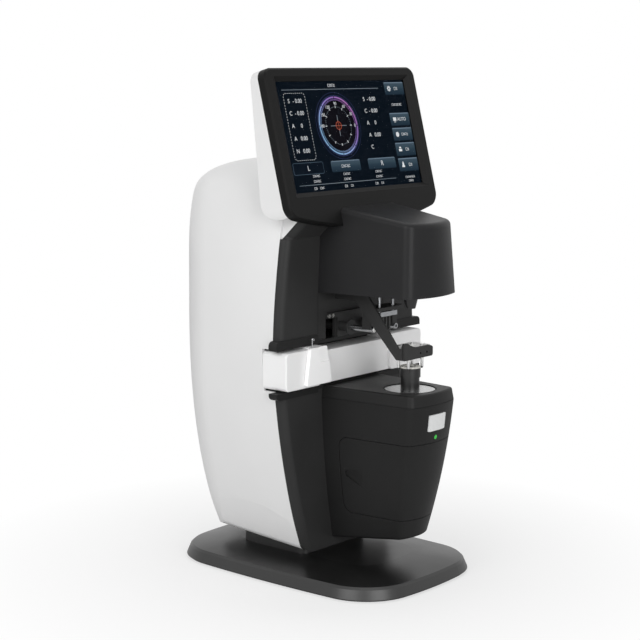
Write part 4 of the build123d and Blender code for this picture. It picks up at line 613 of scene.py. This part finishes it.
printer = [patch(sign_x - 2.3, 30.3, 4.6, 2.2, corner=0.4),
           patch(sign_x - 1.3, 33.0, 2.6, 1.5, corner=0.3)]
bell = [patch(sign_x - 2.0, 15.6, 4.0, 1.6, corner=0.3),
        patch(sign_x - 1.2, 17.2, 2.4, 2.2, corner=0.5), ring(sign_x, 20.0, 0.8, 0.75, steps=20)]
show("screen_signs", cog + display + ball + printer + bell, 4, white_pixels)

# %% [markdown]
# The cover glass of a touch display is thin, hard and treated against glare, so it is clear and
# nearly without a mirror image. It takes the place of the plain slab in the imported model, which
# is as thick as the glass and the film stack together. Real glass has an index of about 1.5. It
# was picked for a clean picture, and isn't that of glass.

# %% Cover glass
glass_lap = 3.8  # past each edge of the picture, in mm
glass_thick, glass_back = 0.00045, 0.0005  # in metres
glare_glass = new_material("antiglare_cover_glass")
smears = add(glare_glass, "ShaderNodeTexNoise", {
    "Vector": add(glare_glass, "ShaderNodeTexCoord").outputs["Object"], "Scale": 1000 / 30,
    "Detail": 3.0})
smear_gloss = add(glare_glass, "ShaderNodeMapRange", {
    "Value": smears.outputs["Fac"], "From Min": 0.35, "From Max": 0.65, "To Min": 0.0,
    "To Max": 0.01})
finish_material(glare_glass, add(glare_glass, "ShaderNodeBsdfPrincipled", {
    "Base Color": linear("#FFFFFF"), "Transmission Weight": 1.0, "IOR": 1.01,
    "Roughness": smear_gloss.outputs["Result"], "Specular IOR Level": 0.3}), "#DDE4EA")
glass = joined("cover_glass", [patch(-panel_w / 2 - glass_lap, -glass_lap, panel_w + 2 * glass_lap,
                                     panel_h + 2 * glass_lap, corner=1.0)])
thick = glass.modifiers.new("thickness", "SOLIDIFY")
thick.thickness, thick.offset = glass_thick, 1
bpy.ops.object.modifier_apply(modifier=thick.name)
glass.matrix_world = screen @ Matrix.Translation((0, 0, -glass_back))
settle(glass)
glass.data.materials.clear()
glass.data.materials.append(glare_glass)
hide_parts("touch_glass")
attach(glass, "stand")
on_screen = [o for o in bpy.data.objects if o.name.startswith(("screen_", "dial_"))]
print("screen pieces:", len(on_screen))

# %% [markdown]
# A dark ring in the groove round the disc is painted shade: it stands for the shadow down in the
# groove. It starts as a flat ring of real size, gets its height from a solidify modifier and its
# round lip from a bevel, and then goes to the disc's middle.

# %% Painted shade ring in the groove round the deck disc
groove_shade_reach, groove_shade_w = 1.05, 1.15  # past the disc's edge, and across the ring, in mm
groove_shade_h, groove_shade_lip, groove_shade_proud = 0.0008, 0.00025, 0.0006  # in metres
disc_low, disc_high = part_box("deck_disc")
disc_half = (disc_high[0] - disc_low[0]) / 2
groove_shade = ring(0, 0, disc_half * 1000 + groove_shade_reach, groove_shade_w, steps=96)
height = groove_shade.modifiers.new("height", "SOLIDIFY")
height.thickness, height.offset = groove_shade_h, -1
lip = groove_shade.modifiers.new("lip", "BEVEL")
lip.width, lip.segments = groove_shade_lip, 2
for modifier in (height, lip):
    bpy.ops.object.modifier_apply(modifier=modifier.name)
groove_shade.location = ((disc_low[0] + disc_high[0]) / 2, (disc_low[1] + disc_high[1]) / 2,
                 disc_high[2] + groove_shade_proud)
settle(groove_shade)
bpy.ops.object.mode_set(mode="EDIT")
bpy.ops.mesh.select_all(action="SELECT")
bpy.ops.mesh.normals_make_consistent(inside=False)
bpy.ops.object.mode_set(mode="OBJECT")
# the ring is painted shade for the groove, coloured with the feet's dark rubber; its size is
# printed below
groove_shade.name = "disc_seal"
groove_shade.data.materials.append(rubber_and_groove_shade)
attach(groove_shade, "stand")
print("seal ring:", [round(v * 1000, 1) for v in groove_shade.dimensions])

# %% [markdown]
# The camera stands where the photographer stood: level with the top of the display, 50 degrees
# round to the left of the instrument, with a lens that fills the frame. The numbers come from
# the screen's four corners and the level lines of the base and the table.

# %% Camera
camera_down, camera_turn = 8.83, 49.61  # degrees below level, and clockwise from the depth axis
camera_data = bpy.data.cameras.new("photo_view")
camera_data.sensor_width = 36.0
camera_data.lens = 94.1
camera = bpy.data.objects.new("photo_view", camera_data)
camera.location = (-1.1493, -0.9715, 0.4606)
camera.rotation_euler = (math.radians(90 - camera_down), 0, math.radians(-camera_turn))
bpy.context.scene.collection.objects.link(camera)
bpy.context.scene.camera = camera
bpy.context.scene.view_settings.view_transform = "Standard"

# %% [markdown]
# The set is a pale sweep under soft boxes. A big box at the left lights the white shell, one in
# front of the instrument lights the column and the table, and one overhead gives the soft sheen
# on flat tops. The backdrop is white to the camera, through glass and in reflections, and much
# dimmer as a source, so the object isn't flooded with light. The paper shows the soft shadow
# round the base and turns plain white away from it.

# %% Lamps and backdrop
def soft_box(name, place, aim, size, power):
    """A rectangular lamp at a place, turned to shine at a point, its power in watts."""
    data = bpy.data.lights.new(name, "AREA")
    data.shape = "RECTANGLE"
    data.size, data.size_y = size
    data.energy = power
    box = bpy.data.objects.new(name, data)
    box.location = place
    box.rotation_euler = (Vector(aim) - Vector(place)).to_track_quat("-Z", "Y").to_euler()
    bpy.context.scene.collection.objects.link(box)


middle = (0, 0, 0.22)
soft_box("key_box", (-1.8, -0.2, 1.1), middle, (1.3, 1.3), 15)
soft_box("front_box", (-0.9, -2.0, 0.75), middle, (1.3, 1.3), 19)
soft_box("top_box", (0.2, 0.1, 1.9), middle, (1.5, 1.5), 9)

world = bpy.data.worlds.new("studio")
bpy.context.scene.world = world
world.use_nodes = True
world.node_tree.nodes.clear()
rays = add(world, "ShaderNodeLightPath")
clear = add(world, "ShaderNodeMath", {0: rays.outputs["Is Camera Ray"],
                                      1: rays.outputs["Is Transmission Ray"]},
            operation="MAXIMUM")
seen = add(world, "ShaderNodeMath", {0: clear.outputs[0], 1: rays.outputs["Is Glossy Ray"]},
           operation="MAXIMUM")
ambient = add(world, "ShaderNodeBackground", {"Color": (1, 1, 1, 1), "Strength": 0.35})
white = add(world, "ShaderNodeBackground", {"Color": (1, 1, 1, 1), "Strength": 1.0})
add(world, "ShaderNodeOutputWorld", {"Surface": add(
    world, "ShaderNodeMixShader", {0: seen.outputs[0], 1: ambient.outputs[0],
                                   2: white.outputs[0]}).outputs[0]})

bpy.ops.object.select_all(action="DESELECT")
# the fade runs from 0.14 m to 0.36 m from the middle, which the scale brings to 0.35 and 0.9
paper_scale, paper_near, paper_far, paper_glow = 2.5, 0.35, 0.9, 0.62
bpy.ops.mesh.primitive_plane_add(size=8, location=(0, 0, 0))
floor = bpy.context.object
floor.name = "floor"
paper = new_material("white_paper_sweep")
paper_rays = add(paper, "ShaderNodeLightPath")
paper_matt = add(paper, "ShaderNodeBsdfDiffuse", {"Color": linear("#F2F2F2")})
paper_light = add(paper, "ShaderNodeEmission", {"Color": (1, 1, 1, 1), "Strength": 1.0})
paper_away = add(paper, "ShaderNodeVectorMath",
                 {0: add(paper, "ShaderNodeTexCoord").outputs["Object"],
                  1: (paper_scale, paper_scale, 0)}, operation="MULTIPLY")
paper_length = add(paper, "ShaderNodeVectorMath", {0: paper_away.outputs[0]}, operation="LENGTH")
paper_fade = add(paper, "ShaderNodeMapRange", {
    "Value": paper_length.outputs["Value"], "From Min": paper_near, "From Max": paper_far,
    "To Min": paper_glow, "To Max": 1.0})
paper_share = add(paper, "ShaderNodeMath", {0: paper_rays.outputs["Is Camera Ray"],
                                            1: paper_fade.outputs["Result"]}, operation="MULTIPLY")
finish_material(paper, add(paper, "ShaderNodeMixShader",
                           {0: paper_share.outputs[0], 1: paper_matt.outputs[0],
                            2: paper_light.outputs[0]}), "#F2F2F2")
floor.data.materials.append(paper)
